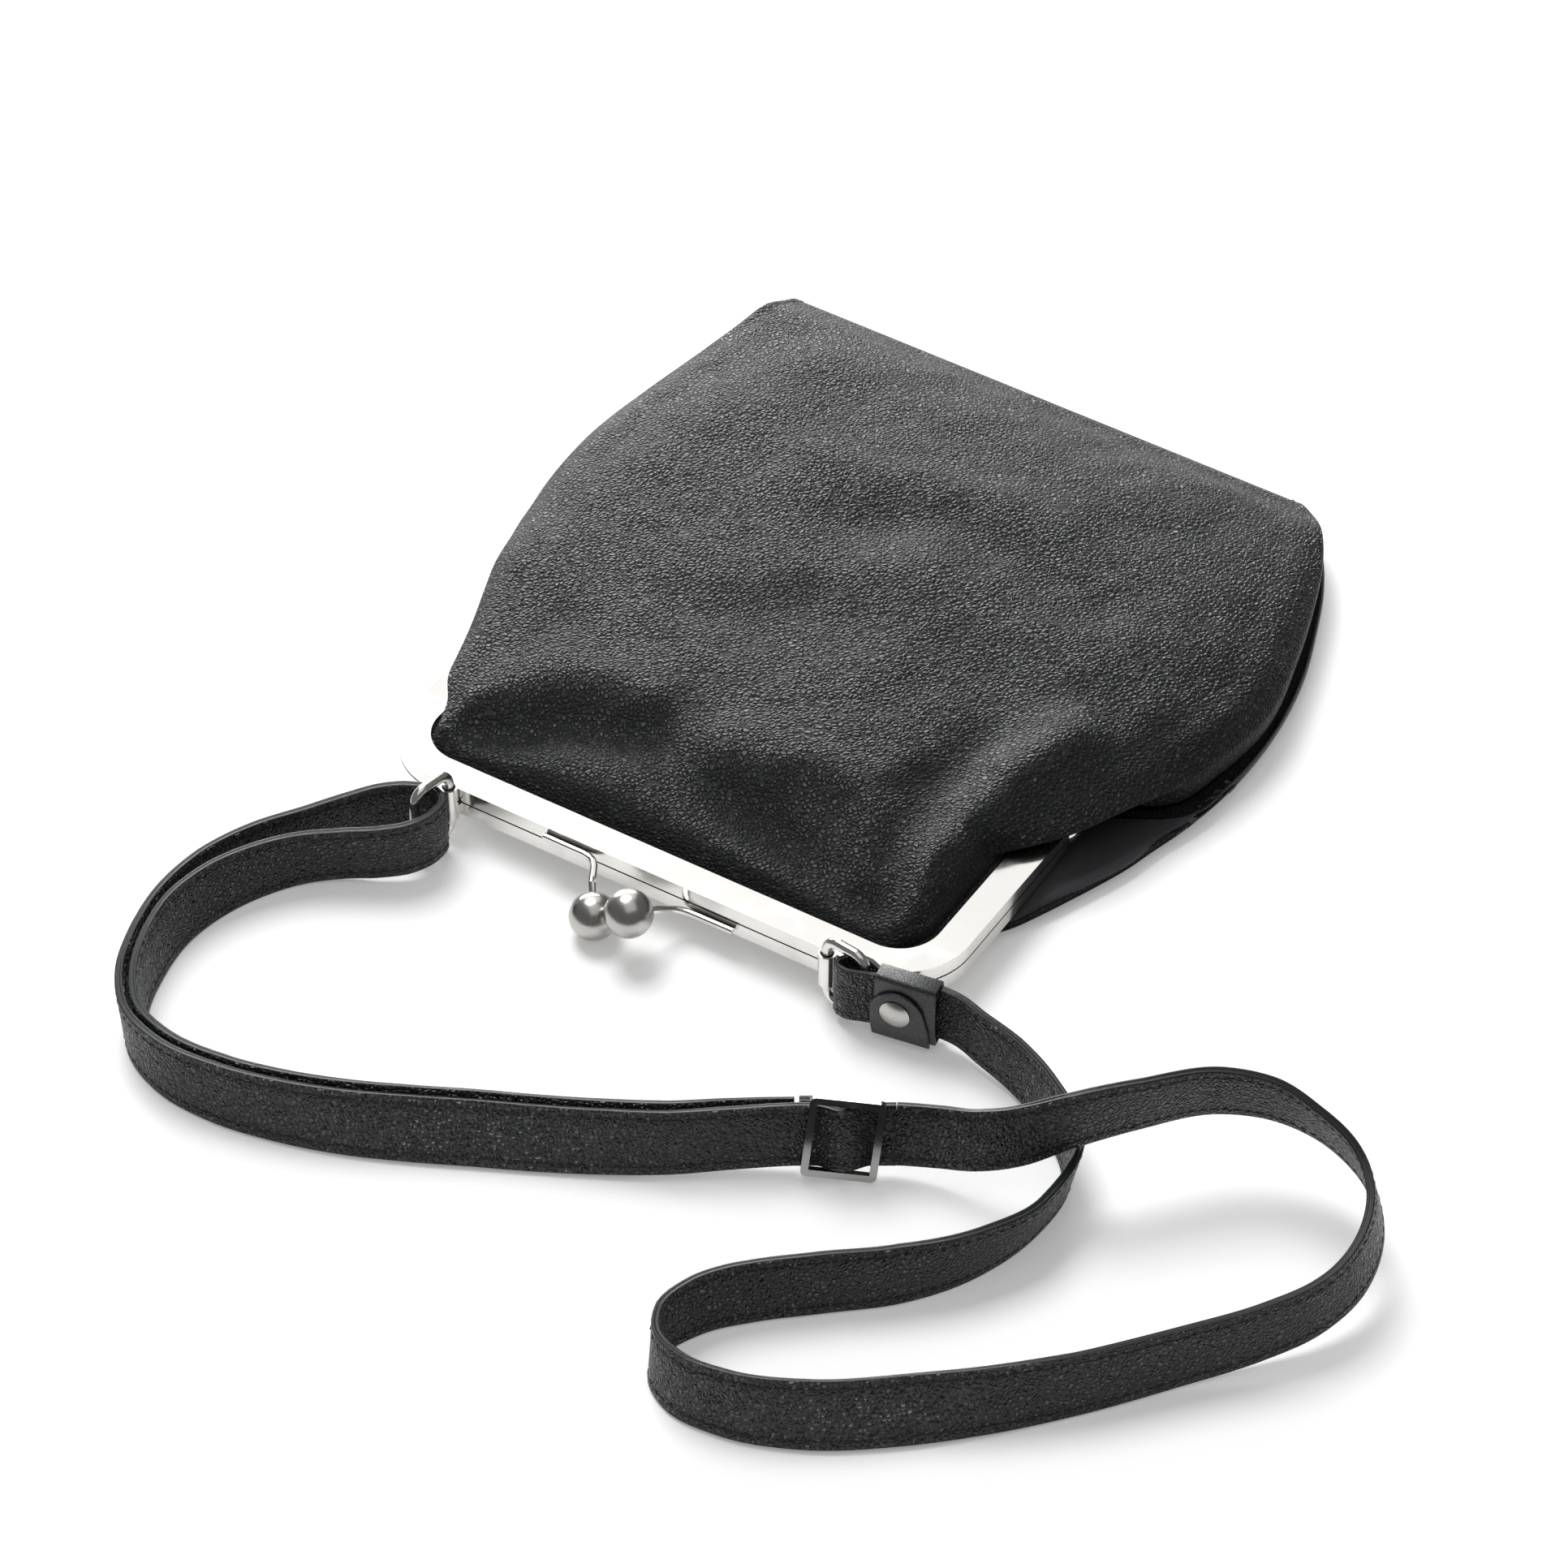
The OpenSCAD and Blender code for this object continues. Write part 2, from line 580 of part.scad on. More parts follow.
// Through the left ring
left_loop_route = [
  [-90.3, -23.2, 1.5, 0, t], [-83.6, -16.3, 2.5, -1, t], [lug_l_x - 8.5, -11, lift - 0.4, 0, t],
  [lug_l_x - 1, -9.2, lift, 0, t], [lug_l_x + 3.8, -11.6, lift, 0, t],
  [lug_l_x + 4.6, -17.5, lift, 0, t], [lug_l_x + 1.4, -25.2, lift - 0.4, 0, t],
  [-73.5, -31.4, 2.4, 1, t]];
// From the slider over the returning stretch and round the right bend to the lower bend
main_route = [
  [108.3, -60.5, 4, 16, t], [120.7, -52.8, 4.2, 16, t], [132.5, -49, 6.2, 16, t],
  [144.5, -47.4, 10.2, 16, t], [157, -42.8, 15.6, 13, t], [167.5, -34, 21, 4, t],
  [180.7, -18.6, 22.8, -3, t], [196.7, -1.4, 22.6, -7.5, t], [213, 6.1, 21.4, -12.5, t],
  [230.8, 6.7, 18.5, -18.5, t], [245.5, 0.8, 14.7, -16.5, t], [255, -12, 11.2, -11.5, t],
  [258, -29.2, 7.5, -8.2, t], [253.3, -45.2, 4.2, -5, t], [243.8, -59.8, 2, -5.8, t],
  [228.1, -79.5, 0.5, -8.6, t], [210.2, -102, 0, -13.2, t], [192.4, -121.9, 0, -23, t],
  [173.2, -139.5, 0, -31.5, t], [152, -153.8, 0, -29, t], [130.2, -161.2, 0, -21.2, t],
  [113, -160.7, 0, -14.5, t], [103.5, -153.8, 0, -5.5, t]];
// From the lower bend back under the main run to the keeper
return_route = [
  [130.2, -161.2, 0, -21.2, t], [113, -160.7, 0, -14.5, t], [103.5, -153.8, 0, -5.5, t],
  [101.3, -144, 0, 3.2, t], [106, -132.5, 0, 10, t], [115.8, -121.4, 0, 13, t],
  [131.1, -107.9, 0, 12.8, t], [147.8, -92.7, 0, 9, t], [160, -73.7, 0, -3.8, t],
  [166.2, -52.1, 0, -12.8, t], [164.8, -31.1, 0, -11, t], [148.6, -14.9, 0.6, -6.6, t],
  [133.6, -7.4, 1.6, -5, t], [120.8, -3.8, 2.8, -1.5, t], [110.5, -1.2, lift, 0, t],
  [100, -2.2, lift, 0, t]];

// Keeper: its own frame starts at the near end of the keeper, on the strap's bottom edge
keeper_at = [lug_x + 18.7, -4.9, lift];
keeper_turn = 9;
main_offset = 0.7;
end_offset = main_offset - t / 2 - skived_t / 2 - seat_gap;
function keeper_point(along, across) = [
  keeper_at[0] + along * cos(keeper_turn) - across * sin(keeper_turn),
  keeper_at[1] + along * sin(keeper_turn) + across * cos(keeper_turn)];
function keeper_route_point(along, across, thick) =
  concat(keeper_point(along, across), [lift, 0, thick]);
right_loop_route = [
  [120.8, -3.8, 2.8, -1.5, t],
  [110.5, -1.2, lift, 0, t],
  keeper_route_point(keeper_l, main_offset, t),
  keeper_route_point(keeper_l * 0.7, main_offset, t),
  keeper_route_point(keeper_l * 0.35, main_offset, t),
  keeper_route_point(3, main_offset + 0.1, skived_t),
  keeper_route_point(0.8, main_offset + 0.2, skived_t),
  keeper_route_point(-1.5, main_offset + 1.5, skived_t),
  keeper_route_point(-4.2, main_offset + 2.9, skived_t),
  keeper_route_point(-8.5, main_offset + 2.5, skived_t),
  keeper_route_point(-12, main_offset + 0.6, skived_t),
  keeper_route_point(-13, main_offset - 1.9, skived_t),
  keeper_route_point(-10, main_offset - 3.6, skived_t),
  keeper_route_point(-4.2, end_offset - 0.8, skived_t),
  keeper_route_point(-1, end_offset - 0.2, skived_t),
  keeper_route_point(1.5, end_offset, skived_t),
  keeper_route_point(4, end_offset, skived_t),
  keeper_route_point(keeper_l - 1, end_offset, skived_t),
  keeper_route_point(keeper_l + 4, end_offset, skived_t)];

// Point and direction on a route: Catmull-Rom through the chosen points
function route_point(p, u) =
  let (
    i = min(floor(u), len(p) - 2), f = u - i,
    a = p[max(0, i - 1)], b = p[i], c = p[i + 1], d = p[min(len(p) - 1, i + 2)])
  0.5 * (2 * b + (c - a) * f + (2 * a - 5 * b + 4 * c - d) * f * f
    + (3 * b - a - 3 * c + d) * f * f * f);
function route_heading(p, u) =
  let (
    a = route_point(p, max(0, u - 0.02)), b = route_point(p, min(len(p) - 1, u + 0.02)))
  [b[0] - a[0], b[1] - a[1]] / norm([b[0] - a[0], b[1] - a[1]]);

// Ring of the strap's section at one place on its route
function strap_section(p, u) =
  let (
    q = route_point(p, u), h = route_heading(p, u), left = [-h[1], h[0]],
    c = cos(q[3]), s = sin(q[3]), half = q[4] / 2, edge = 0.4,
    up = [left[0] * s, left[1] * s, c], side = [left[0] * c, left[1] * c, -s],
    base = [q[0], q[1], q[2] + half * abs(s)])
  [for (k = [
    [-half + edge, 0], [half - edge, 0], [half, edge], [half, strap_w - edge],
    [half - edge, strap_w], [-half + edge, strap_w], [-half, strap_w - edge], [-half, edge]])
    base + side * k[0] + up * k[1]];

// Strap along a route between two of its points
module strap(p, first, last, steps) {
  count = round((last - first) * steps);
  rings = [for (k = [0:count]) strap_section(p, first + (last - first) * k / count)];
  n = 8;
  points = [for (r = rings) each r];
  walls = [for (k = [0:count - 1]) for (j = [0:n - 1])
    let (a = k * n + j, b = k * n + (j + 1) % n)
    each [[a, b + n, b], [a, a + n, b + n]]];
  ends = [for (j = [1:n - 2]) each [[0, j, j + 1],
    [count * n, count * n + j + 1, count * n + j]]];
  polyhedron(points, concat(walls, ends));
}

module strap_outer_run() { color(strap_leather) strap(outer_route, 1.03, 20.985, 2); }
module strap_inner_run() { color(strap_leather) strap(inner_route, 1.03, 20.9, 2); }
module strap_left_loop() { color(strap_leather) strap(left_loop_route, 2, 6, 4); }
module strap_main_run() { color(strap_leather) strap(main_route, 1.02, 15, 2); }
module strap_near_run() { color(strap_leather) strap(main_route, 15.005, 20.995, 2); }
module strap_return_run() { color(strap_leather) strap(return_route, 1, 13.97, 2); }
module strap_right_loop() { color(strap_leather) strap(right_loop_route, 1, 17, 3); }

// Slider: its own frame has X along the strap, Y away from the viewer and Z up the strap
slider_at = [108.3, -60.5, 4];
slider_turn = 32;
slider_lean = 16;
slider_twist = 7;
// The slider's face lies this far before the strap's middle
slider_front = 2.6;
fold_t = skived_t;
centre_bar_r = 1;
centre_bar_y = 0.7;
// The strap's middle passes this far before its route at the centre bar
bend_rise = 3.5;

module slider_frame() {
  rise = strap_w / 2 * cos(slider_lean) + t / 2 * sin(slider_lean);
  shift = strap_w / 2 * sin(slider_lean);
  translate(slider_at + [-sin(slider_turn) * shift, cos(slider_turn) * shift, rise])
    rotate([0, 0, slider_turn]) rotate([-slider_lean, 0, 0]) children();
}

module slider_buckle() {
  outer_h = slider_window_h + 2 * slider_bar_w;
  corner = 1.8;
  color(dark_nickel) slider_frame() translate([0, -slider_front, 0]) rotate([0, slider_twist, 0]) {
    rotate([90, 0, 0]) translate([0, 0, -slider_bar_t / 2]) linear_extrude(slider_bar_t)
      difference() {
        union() {
          square([slider_l - 2 * corner, outer_h], center = true);
          square([slider_l, outer_h - 2 * corner], center = true);
          for (x = [-1, 1], z = [-1, 1])
            translate([x * (slider_l / 2 - corner), z * (outer_h / 2 - corner)]) circle(corner);
        }
        square([slider_l - 2 * slider_bar_w, slider_window_h], center = true);
      }
    // Centre bar, set back so that the strap passes before it
    bar_y = slider_front + centre_bar_y;
    translate([0, bar_y, -outer_h / 2 + 0.2]) cylinder(h = outer_h - 0.4, r = centre_bar_r, $fn = 32);
    for (z = [-1, 1])
      translate([-centre_bar_r, 0, z > 0 ? slider_window_h / 2 + 0.2 : -outer_h / 2 + 0.2])
        cube([2 * centre_bar_r, bar_y, slider_bar_w - 0.4]);
  }
}

// Middle line of the strap through the slider, by distance along it
bend_run = 8;
function bend_y(x) = -bend_rise * (0.5 + 0.5 * cos(180 * min(1, abs(x) / bend_run)));
bend_half = 14.6;
bend_steps = 16;

module strap_slider_bend() {
  places = [for (k = [0:bend_steps]) -bend_half + 2 * bend_half * k / bend_steps];
  color(strap_leather) slider_frame() translate([0, 0, -strap_w / 2]) linear_extrude(strap_w)
    polygon(concat(
      [for (x = places) [x, bend_y(x) - t / 2]],
      [for (k = [bend_steps:-1:0]) [places[k], bend_y(places[k]) + t / 2]]));
}

// The strap's other end folds round the centre bar and is stitched behind
fold_in = centre_bar_r + 0.05;
fold_mid = fold_in + fold_t / 2;
fold_steps = 10;
fold_l = bend_half - 2;
// Middles of the fold's front and back layer, by distance along the strap
function fold_front_y(x) = max(centre_bar_y - fold_mid, bend_y(x) + (t + fold_t) / 2 + ply_gap);
function fold_back_y(x) = max(centre_bar_y + fold_mid, fold_front_y(x) + fold_t + ply_gap);

module strap_end_fold() {
  color(strap_leather) slider_frame() difference() {
    translate([0, 0, -strap_w / 2]) linear_extrude(strap_w) fold_plan();
    rotate([0, slider_twist, 0]) translate([0, centre_bar_y, -strap_w])
      cylinder(h = 2 * strap_w, r = centre_bar_r + 0.15, $fn = 32);
  }
}

module fold_plan() {
  xs = [for (k = [0:fold_steps]) -fold_l * k / fold_steps];
  back = [for (k = [fold_steps:-1:0]) xs[k]];
  arc = [for (k = [1:11]) 15 * k - 90];
  half = fold_t / 2;
  polygon(concat(
    [for (x = back) [x, fold_front_y(x) - half]],
    [for (a = arc) [(fold_mid + half) * cos(a), centre_bar_y + (fold_mid + half) * sin(a)]],
    [for (x = xs) [x, fold_back_y(x) + half]],
    [for (x = back) [x, fold_back_y(x) - half]],
    [for (a = arc) [(fold_mid - half) * cos(a), centre_bar_y - (fold_mid - half) * sin(a)]],
    [for (x = xs) [x, fold_front_y(x) + half]]));
}

// Keeper frame: X along the strap, Y away from the viewer, Z up, on the strap's bottom edge
module keeper_frame() {
  translate(keeper_at) rotate([0, 0, keeper_turn]) children();
}

// Gap between the keeper's inside and the strap
keeper_gap = 0.2;
keeper_front = end_offset - skived_t / 2 - keeper_gap;
keeper_back = main_offset + t / 2 + keeper_gap;
keeper_low = -0.1;
keeper_high = strap_w + 0.1;
snap_x = 7.2;
snap_z = 9.4;
flange_r = 3;
flange_t = 0.4;
post_r = 1.2;

module keeper_wrap() {
  corner = keeper_t * 0.9;
  y0 = keeper_front - keeper_t;
  y1 = keeper_back + keeper_t;
  z0 = keeper_low - keeper_t;
  z1 = keeper_high + keeper_t;
  color(strap_leather) keeper_frame() difference() {
    rotate([90, 0, 90]) linear_extrude(keeper_l) difference() {
      union() {
        translate([y0 + corner, z0]) square([y1 - y0 - 2 * corner, z1 - z0]);
        translate([y0, z0 + corner]) square([y1 - y0, z1 - z0 - 2 * corner]);
        for (y = [y0 + corner, y1 - corner], z = [z0 + corner, z1 - corner])
          translate([y, z]) circle(corner);
      }
      translate([keeper_front, keeper_low])
        square([keeper_back - keeper_front, keeper_high - keeper_low]);
    }
    translate([snap_x, keeper_front + 1, snap_z]) rotate([90, 0, 0]) {
      cylinder(h = keeper_t + 2, r = post_r + seat_gap);
      cylinder(h = 1 + flange_t + 0.1, r = flange_r + 0.1);
    }
  }
}

flap_gap = 0.12;
flap_back = keeper_front - keeper_t - flap_gap;
flap_r = 8.6;
flap_z = 8.6;
socket_r = 3.4;

// Flap that turns up over the keeper's face from its bottom edge
module keeper_flap() {
  z0 = keeper_low - keeper_t;
  color(strap_leather) keeper_frame()
    translate([0, flap_back, 0]) rotate([90, 0, 0]) difference() {
      linear_extrude(keeper_t) union() {
        translate([flap_r - 0.9, flap_z]) circle(flap_r);
        polygon([[0.1, z0], [keeper_l - 1.4, z0], [keeper_l - 1.9, z0 + 6],
          [flap_r - 0.9 + flap_r * cos(22), flap_z + flap_r * sin(22)],
          [flap_r - 0.9, flap_z], [-0.9, flap_z]]);
      }
      translate([snap_x, snap_z, -1]) cylinder(h = keeper_t + 2, r = socket_r + seat_gap);
    }
}

// Places a part of the snap: its Z axis points out of the flap's face
module snap_frame(y) {
  keeper_frame() translate([snap_x, y, snap_z]) rotate([90, 0, 0]) children();
}

module snap_post() {
  color(dark_nickel) snap_frame(keeper_front - seat_gap) {
    cylinder(h = flange_t, r = flange_r);
    cylinder(h = keeper_t + flap_gap + keeper_t - 0.5, r = post_r);
  }
}

module snap_stud() {
  color(nickel) snap_frame(keeper_front - keeper_t - press_gap) difference() {
    cylinder(h = keeper_t + flap_gap - 0.25, r = stud_r);
    translate([0, 0, -1]) cylinder(h = keeper_t + 2, r = post_r + press_gap);
  }
}

module snap_socket() {
  color(nickel) snap_frame(flap_back) difference() {
    cylinder(h = keeper_t, r = socket_r);
    translate([0, 0, -1]) cylinder(h = keeper_t + 2, r = stud_r + 0.15);
  }
}

module snap_cap() {
  color(satin_nickel) snap_frame(flap_back - keeper_t - seat_gap) {
    cylinder(h = 0.4, r = cap_r);
    translate([0, 0, 0.4]) dome(cap_r, cap_h - 0.4);
  }
}

placed() back_frame();
placed() front_frame();
placed() left_rivet();
placed() right_rivet();
placed() back_paper_cord();
placed() front_paper_cord();
placed() back_panel();
placed() front_panel();
placed() back_lining();
placed() front_lining();
placed() back_shank();
placed() front_shank();
placed() back_ball();
placed() front_ball();
placed() left_lug();
placed() right_lug();
placed() left_ring();
placed() right_ring();
placed() strap_inner_run();
placed() strap_outer_run();
placed() strap_left_loop();
placed() strap_end_fold();
placed() strap_slider_bend();
placed() slider_buckle();
placed() strap_main_run();
placed() strap_near_run();
placed() strap_return_run();
placed() strap_right_loop();
placed() keeper_wrap();
placed() keeper_flap();
placed() snap_cap();
placed() snap_socket();
placed() snap_stud();
placed() snap_post();
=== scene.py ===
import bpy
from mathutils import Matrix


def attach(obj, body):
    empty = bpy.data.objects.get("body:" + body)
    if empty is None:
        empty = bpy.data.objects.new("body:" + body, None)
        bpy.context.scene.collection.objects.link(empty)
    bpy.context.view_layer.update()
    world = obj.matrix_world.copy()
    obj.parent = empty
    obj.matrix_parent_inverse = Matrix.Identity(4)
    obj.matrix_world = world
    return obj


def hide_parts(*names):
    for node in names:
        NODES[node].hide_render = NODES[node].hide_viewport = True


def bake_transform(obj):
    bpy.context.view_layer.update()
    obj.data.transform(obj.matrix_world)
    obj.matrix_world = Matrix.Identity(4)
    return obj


bl_info = {
    "name": "Kiss lock frame purse",
    "version": (1, 0, 0),
    "blender": (4, 5, 0),
    "location": "View3D > Sidebar > Purse",
    "description": "Builds the leather, strap, metal and stage of a kiss lock frame purse",
    "category": "Object",
}

import functools
import math

import bmesh
import bpy
from mathutils import Matrix, Vector, noise

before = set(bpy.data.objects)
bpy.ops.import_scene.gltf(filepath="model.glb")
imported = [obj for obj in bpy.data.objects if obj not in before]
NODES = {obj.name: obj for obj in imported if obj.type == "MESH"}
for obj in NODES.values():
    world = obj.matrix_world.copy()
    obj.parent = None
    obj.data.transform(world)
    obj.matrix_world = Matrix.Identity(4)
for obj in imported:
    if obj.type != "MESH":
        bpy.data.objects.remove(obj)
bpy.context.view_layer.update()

# All sizes are millimetres, as in the solids, and become metres with MM
MM = 0.001
# The bar's outer wall lies this far before the middle of the flat patch under the bag
REST_Y = 130.0

# Frame
HALF_W = 100.0
CORNER_R = 24.0
HINGE_DROP = 87.0
FACE_W = 10.0
SHEET_T = 0.8
PLATE_HIGH = 5.1
KNEE_HIGH = 4.5
TAPER_START = 30.0
TAPER_KNEE = 70.0
SLOT_END = 69.0
MID_Z = 11.9

# Bag
BAG_DEPTH = 266.0
BAG_HIGH = 29.5
LEATHER_T = 1.2
LINING_T = 0.5
LINING_GAP = 0.25
CROWN_H = BAG_HIGH - LEATHER_T / 2 - MID_Z
TABLE_DROP = MID_Z - LEATHER_T / 2
SEAM_H = -3.4
BACK_SEAM_H = 4.65
LIP_GAP = 0.5
SEAT_GAP = 0.05
PLATE_GAP = 0.5

# Stations along the bag: 0 at the bar, 1 at the hinge, 2 at the bottom seam
CLOSE_FROM = 1.02
CLOSE_TO = 1.18
# The bottom seam runs this much askew, as a share of the distance across
SEAM_TURN = 0.025
SEAM_TURN_FROM = 1.4

# How far each side stands out from the frame, by station
FRONT_RIGHT_OUT = [[0, -13], [0.23, -13], [0.45, -15], [0.6, -13.5], [0.72, -8.5], [0.82, -2],
                   [0.92, 3.5], [1, 7.5], [1.1, 14], [1.21, 21], [1.38, 27], [1.58, 21],
                   [1.8, 9], [1.9, 0], [1.96, -9], [2, -18]]
FRONT_LEFT_OUT = [[0, -13], [0.23, -9.5], [0.45, -3.5], [0.6, 0], [0.8, 6], [1, 13],
                  [1.21, 22], [1.38, 25.5], [1.55, 23], [1.75, 17.5], [1.93, 13], [2, 11]]
BACK_RIGHT_OUT = [[0, -13], [0.3, -12.5], [0.44, -6], [0.66, 4], [1, 16.5], [1.21, 25.5],
                  [1.38, 27.5], [1.58, 23], [1.8, 10], [1.9, 1], [1.96, -8], [2, -17]]
BACK_LEFT_OUT = [[0, -13], [0.3, -12], [0.45, -8], [0.65, 0], [1, 11],
                 [1.21, 22], [1.38, 27], [1.55, 25], [1.75, 19], [1.93, 14], [2, 11]]
# Shares of the full height along the middle, by station
FRONT_CROWN = [[0.12, 0.2], [0.16, 0.42], [0.22, 0.56], [0.32, 0.66], [0.5, 0.76],
               [0.8, 0.9], [1, 0.96], [1.2, 1], [1.4, 0.99], [1.6, 0.85], [1.8, 0.56],
               [1.9, 0.3], [1.96, 0.02], [1.99, -0.13], [2, -0.23]]
BACK_DROP = [[0.12, 0.32], [0.17, 0.42], [0.25, 0.68], [0.36, 0.92], [0.45, 1],
             [1.94, 1], [1.975, 0.87], [1.993, 0.65], [2, 0.44]]
ROW_STATIONS = [0.016, 0.07, 0.12, 0.14, 0.16, 0.19, 0.25, 0.33, 0.44, 0.56, 0.68, 0.79,
                0.9, 1.03, 1.06, 1.09, 1.12, 1.15, 1.18, 1.27, 1.42, 1.58, 1.72, 1.83,
                1.91, 1.96, 1.985, 2]
ACROSS = 12
# The leather beside the slot: distance in, more of it with the lip, and rise with the lip
LIP_WALL = [(0.6, 1.1, 0.9), (1.1, 1, 1.9), (1.6, 0.9, 2.8), (2.2, 0.8, 3.6)]
LIP_RUN = 6
# Spaces between finer rows, and the finer columns of an edge and of a middle strip
ROW_STEP = 1.9
EDGE_PARTS = 4
MIDDLE_PARTS = 11
# Rows and columns of the leather that the lining doesn't reach
LINING_ROWS = (8, 6)
LINING_COLUMNS = 12

# Soft folds of the front leather: points along each fold from the bar's middle, half width
# and height
FRONT_FOLDS = [
    ([(-84, 12), (-66, 24), (-48, 36), (-22, 41), (6, 33), (38, 27), (63, 15)], 10, -3.0),
    ([(-9, 40), (2, 53), (20, 57), (45, 60), (72, 46)], 13, 2.2),
    ([(90, 14), (84, 28), (80, 52), (79, 84), (86, 109)], 11, 3.8),
    ([(82, 10), (71, 23), (66, 39), (61, 71), (64, 96)], 9, -1.8),
    ([(-84, 24), (-74, 45), (-60, 58), (-36, 60)], 10, 1.6),
    ([(-21, 158), (0, 176), (28, 170), (60, 164)], 14, -1.6),
    ([(-52, 184), (-18, 186), (4, 192), (35, 190)], 12, 1.2),
    ([(-100, 90), (-98, 130), (-90, 190), (-78, 225)], 18, 1.6),
    ([(-34, 99), (-14, 116), (18, 126), (56, 112)], 18, -1.4),
    ([(96, 66), (108, 92), (118, 120)], 9, -1.8)]
# Uneven softness all over: waves in a millimetre, height and place in the noise
SOFT_WAVES = ((0.028, 1.0, 3.1), (0.08, 0.4, 9.7))
SOFT_HIGH = 1.1

# Strap, and its routes as lists of [x, y, lift from the table, lean in degrees, thickness]
STRAP_W = 20.0
STRAP_T = 2.6
SKIVED_T = 1.6
PLY_GAP = 0.2
RING_STEP = 1.7
STITCH_PITCH = 3.4
STITCH_ROWS = (2.6, 17.4)
STITCH_SIZE = (2.5, 0.62, 0.5)
STITCH_SUNK = 0.06

# Slider: X along the strap, Y away from the viewer, Z up the strap
SLIDER_AT = [108.3, -60.5, 4, 16]
SLIDER_TURN = math.radians(32)
SLIDER_LEAN = math.radians(16)
CENTRE_BAR_Y = 0.7
CENTRE_BAR_R = 1.15
BEND_RISE = 3.5
BEND_RUN = 8.0
BEND_HALF = 15.1
FOLD_L = BEND_HALF - 2.5

OUTER_ROUTE = [
    [-68.5, -9.2, 3.6, 0], [-76, -11, 3.2, 0], [-83.6, -16.3, 2.5, -1],
    [-90.3, -23.2, 1.5, 0], [-98, -34.6, 0.5, -1.5], [-106.8, -49.8, 0, -5.5],
    [-111.4, -65.5, 0, -9.5], [-112.2, -83.5, 0, -11], [-109, -101.5, 0, -9.5],
    [-103.5, -117.5, 0, -5.5], [-94, -129.6, 0, -2], [-77.5, -137.6, 0, 5],
    [-58.3, -139.2, 0, 13], [-37.7, -136, 0, 18], [-18.6, -130.4, 0, 23.5],
    [-1, -123, 0, 28], [16, -114.7, 0, 29], [33, -106.4, 0, 27.5],
    [50.3, -97.4, 0.5, 24], [66.7, -88, 1.5, 19], [82.6, -77, 2.9, 16],
    [95.9, -68.2, 3.9, 16], SLIDER_AT]
INNER_ROUTE = [
    [-62.9, -17.5, 3.6, 0], [-66.1, -25.2, 3.2, 0], [-73.5, -31.4, 2.4, 1],
    [-83.5, -37, 1.4, 2], [-93.3, -44.8, 0.5, -0.5], [-101, -56, 0, -5],
    [-106, -69.5, 0, -9.5], [-107.9, -85, 0, -11], [-105.4, -100.6, 0, -9.5],
    [-100.3, -115, 0, -5.5], [-91.9, -126.4, 0, -2], [-76.8, -133.8, 0, 5],
    [-58.3, -135.5, 0, 13], [-38.6, -132.4, 0, 18], [-20, -126.9, 0, 23.5],
    [-2.5, -119.6, 0, 28], [14.4, -111.3, 0, 29], [31.3, -103.1, 0, 27.5],
    [48.4, -94.2, 0.5, 24], [64.7, -84.9, 1.5, 19], [80.7, -74, 2.9, 16, SKIVED_T],
    [95.6, -65.2, 3.9, 16, SKIVED_T]]
LEFT_LOOP_ROUTE = OUTER_ROUTE[3::-1] + [[-63.7, -11.6, 3.6, 0]] + INNER_ROUTE[:3]
MAIN_ROUTE = [
    SLIDER_AT, [120.7, -52.8, 4.2, 16], [132.5, -49, 6.2, 16],
    [144.5, -47.4, 10.2, 16], [157, -42.8, 15.6, 13], [167.5, -34, 21, 4],
    [180.7, -18.6, 22.8, -3], [196.7, -1.4, 22.6, -7.5], [213, 6.1, 21.4, -12.5],
    [230.8, 6.7, 18.5, -18.5], [245.5, 0.8, 14.7, -16.5], [255, -12, 11.2, -11.5],
    [258, -29.2, 7.5, -8.2], [253.3, -45.2, 4.2, -5], [243.8, -59.8, 2, -5.8],
    [228.1, -79.5, 0.5, -8.6], [210.2, -102, 0, -13.2], [192.4, -121.9, 0, -23],
    [173.2, -139.5, 0, -31.5], [152, -153.8, 0, -29], [130.2, -161.2, 0, -21.2],
    [113, -160.7, 0, -14.5], [103.5, -153.8, 0, -5.5]]
RETURN_ROUTE = MAIN_ROUTE[-3:] + [
    [101.3, -144, 0, 3.2], [106, -132.5, 0, 10], [115.8, -121.4, 0, 13],
    [131.1, -107.9, 0, 12.8], [147.8, -92.7, 0, 9], [160, -73.7, 0, -3.8],
    [166.2, -52.1, 0, -12.8], [164.8, -31.1, 0, -11], [148.6, -14.9, 0.6, -6.6],
    [133.6, -7.4, 1.6, -5], [120.8, -3.8, 2.8, -1.5], [110.5, -1.2, 3.6, 0],
    [100, -2.2, 3.6, 0]]

# Keeper: X along the strap from its end by the ring, Y away from the viewer
KEEPER_AT = [86.2, -4.9, 3.6]
KEEPER_TURN = math.radians(9)
KEEPER_L = 19.4
KEEPER_T = 1.1
KEEPER_GAP = 0.1
KEEPER_BEND = 0.5
MAIN_OFFSET = 0.7
END_OFFSET = MAIN_OFFSET - STRAP_T / 2 - SKIVED_T / 2 - SEAT_GAP
KEEPER_FRONT = END_OFFSET - SKIVED_T / 2 - PLY_GAP
KEEPER_BACK = MAIN_OFFSET + STRAP_T / 2 + PLY_GAP
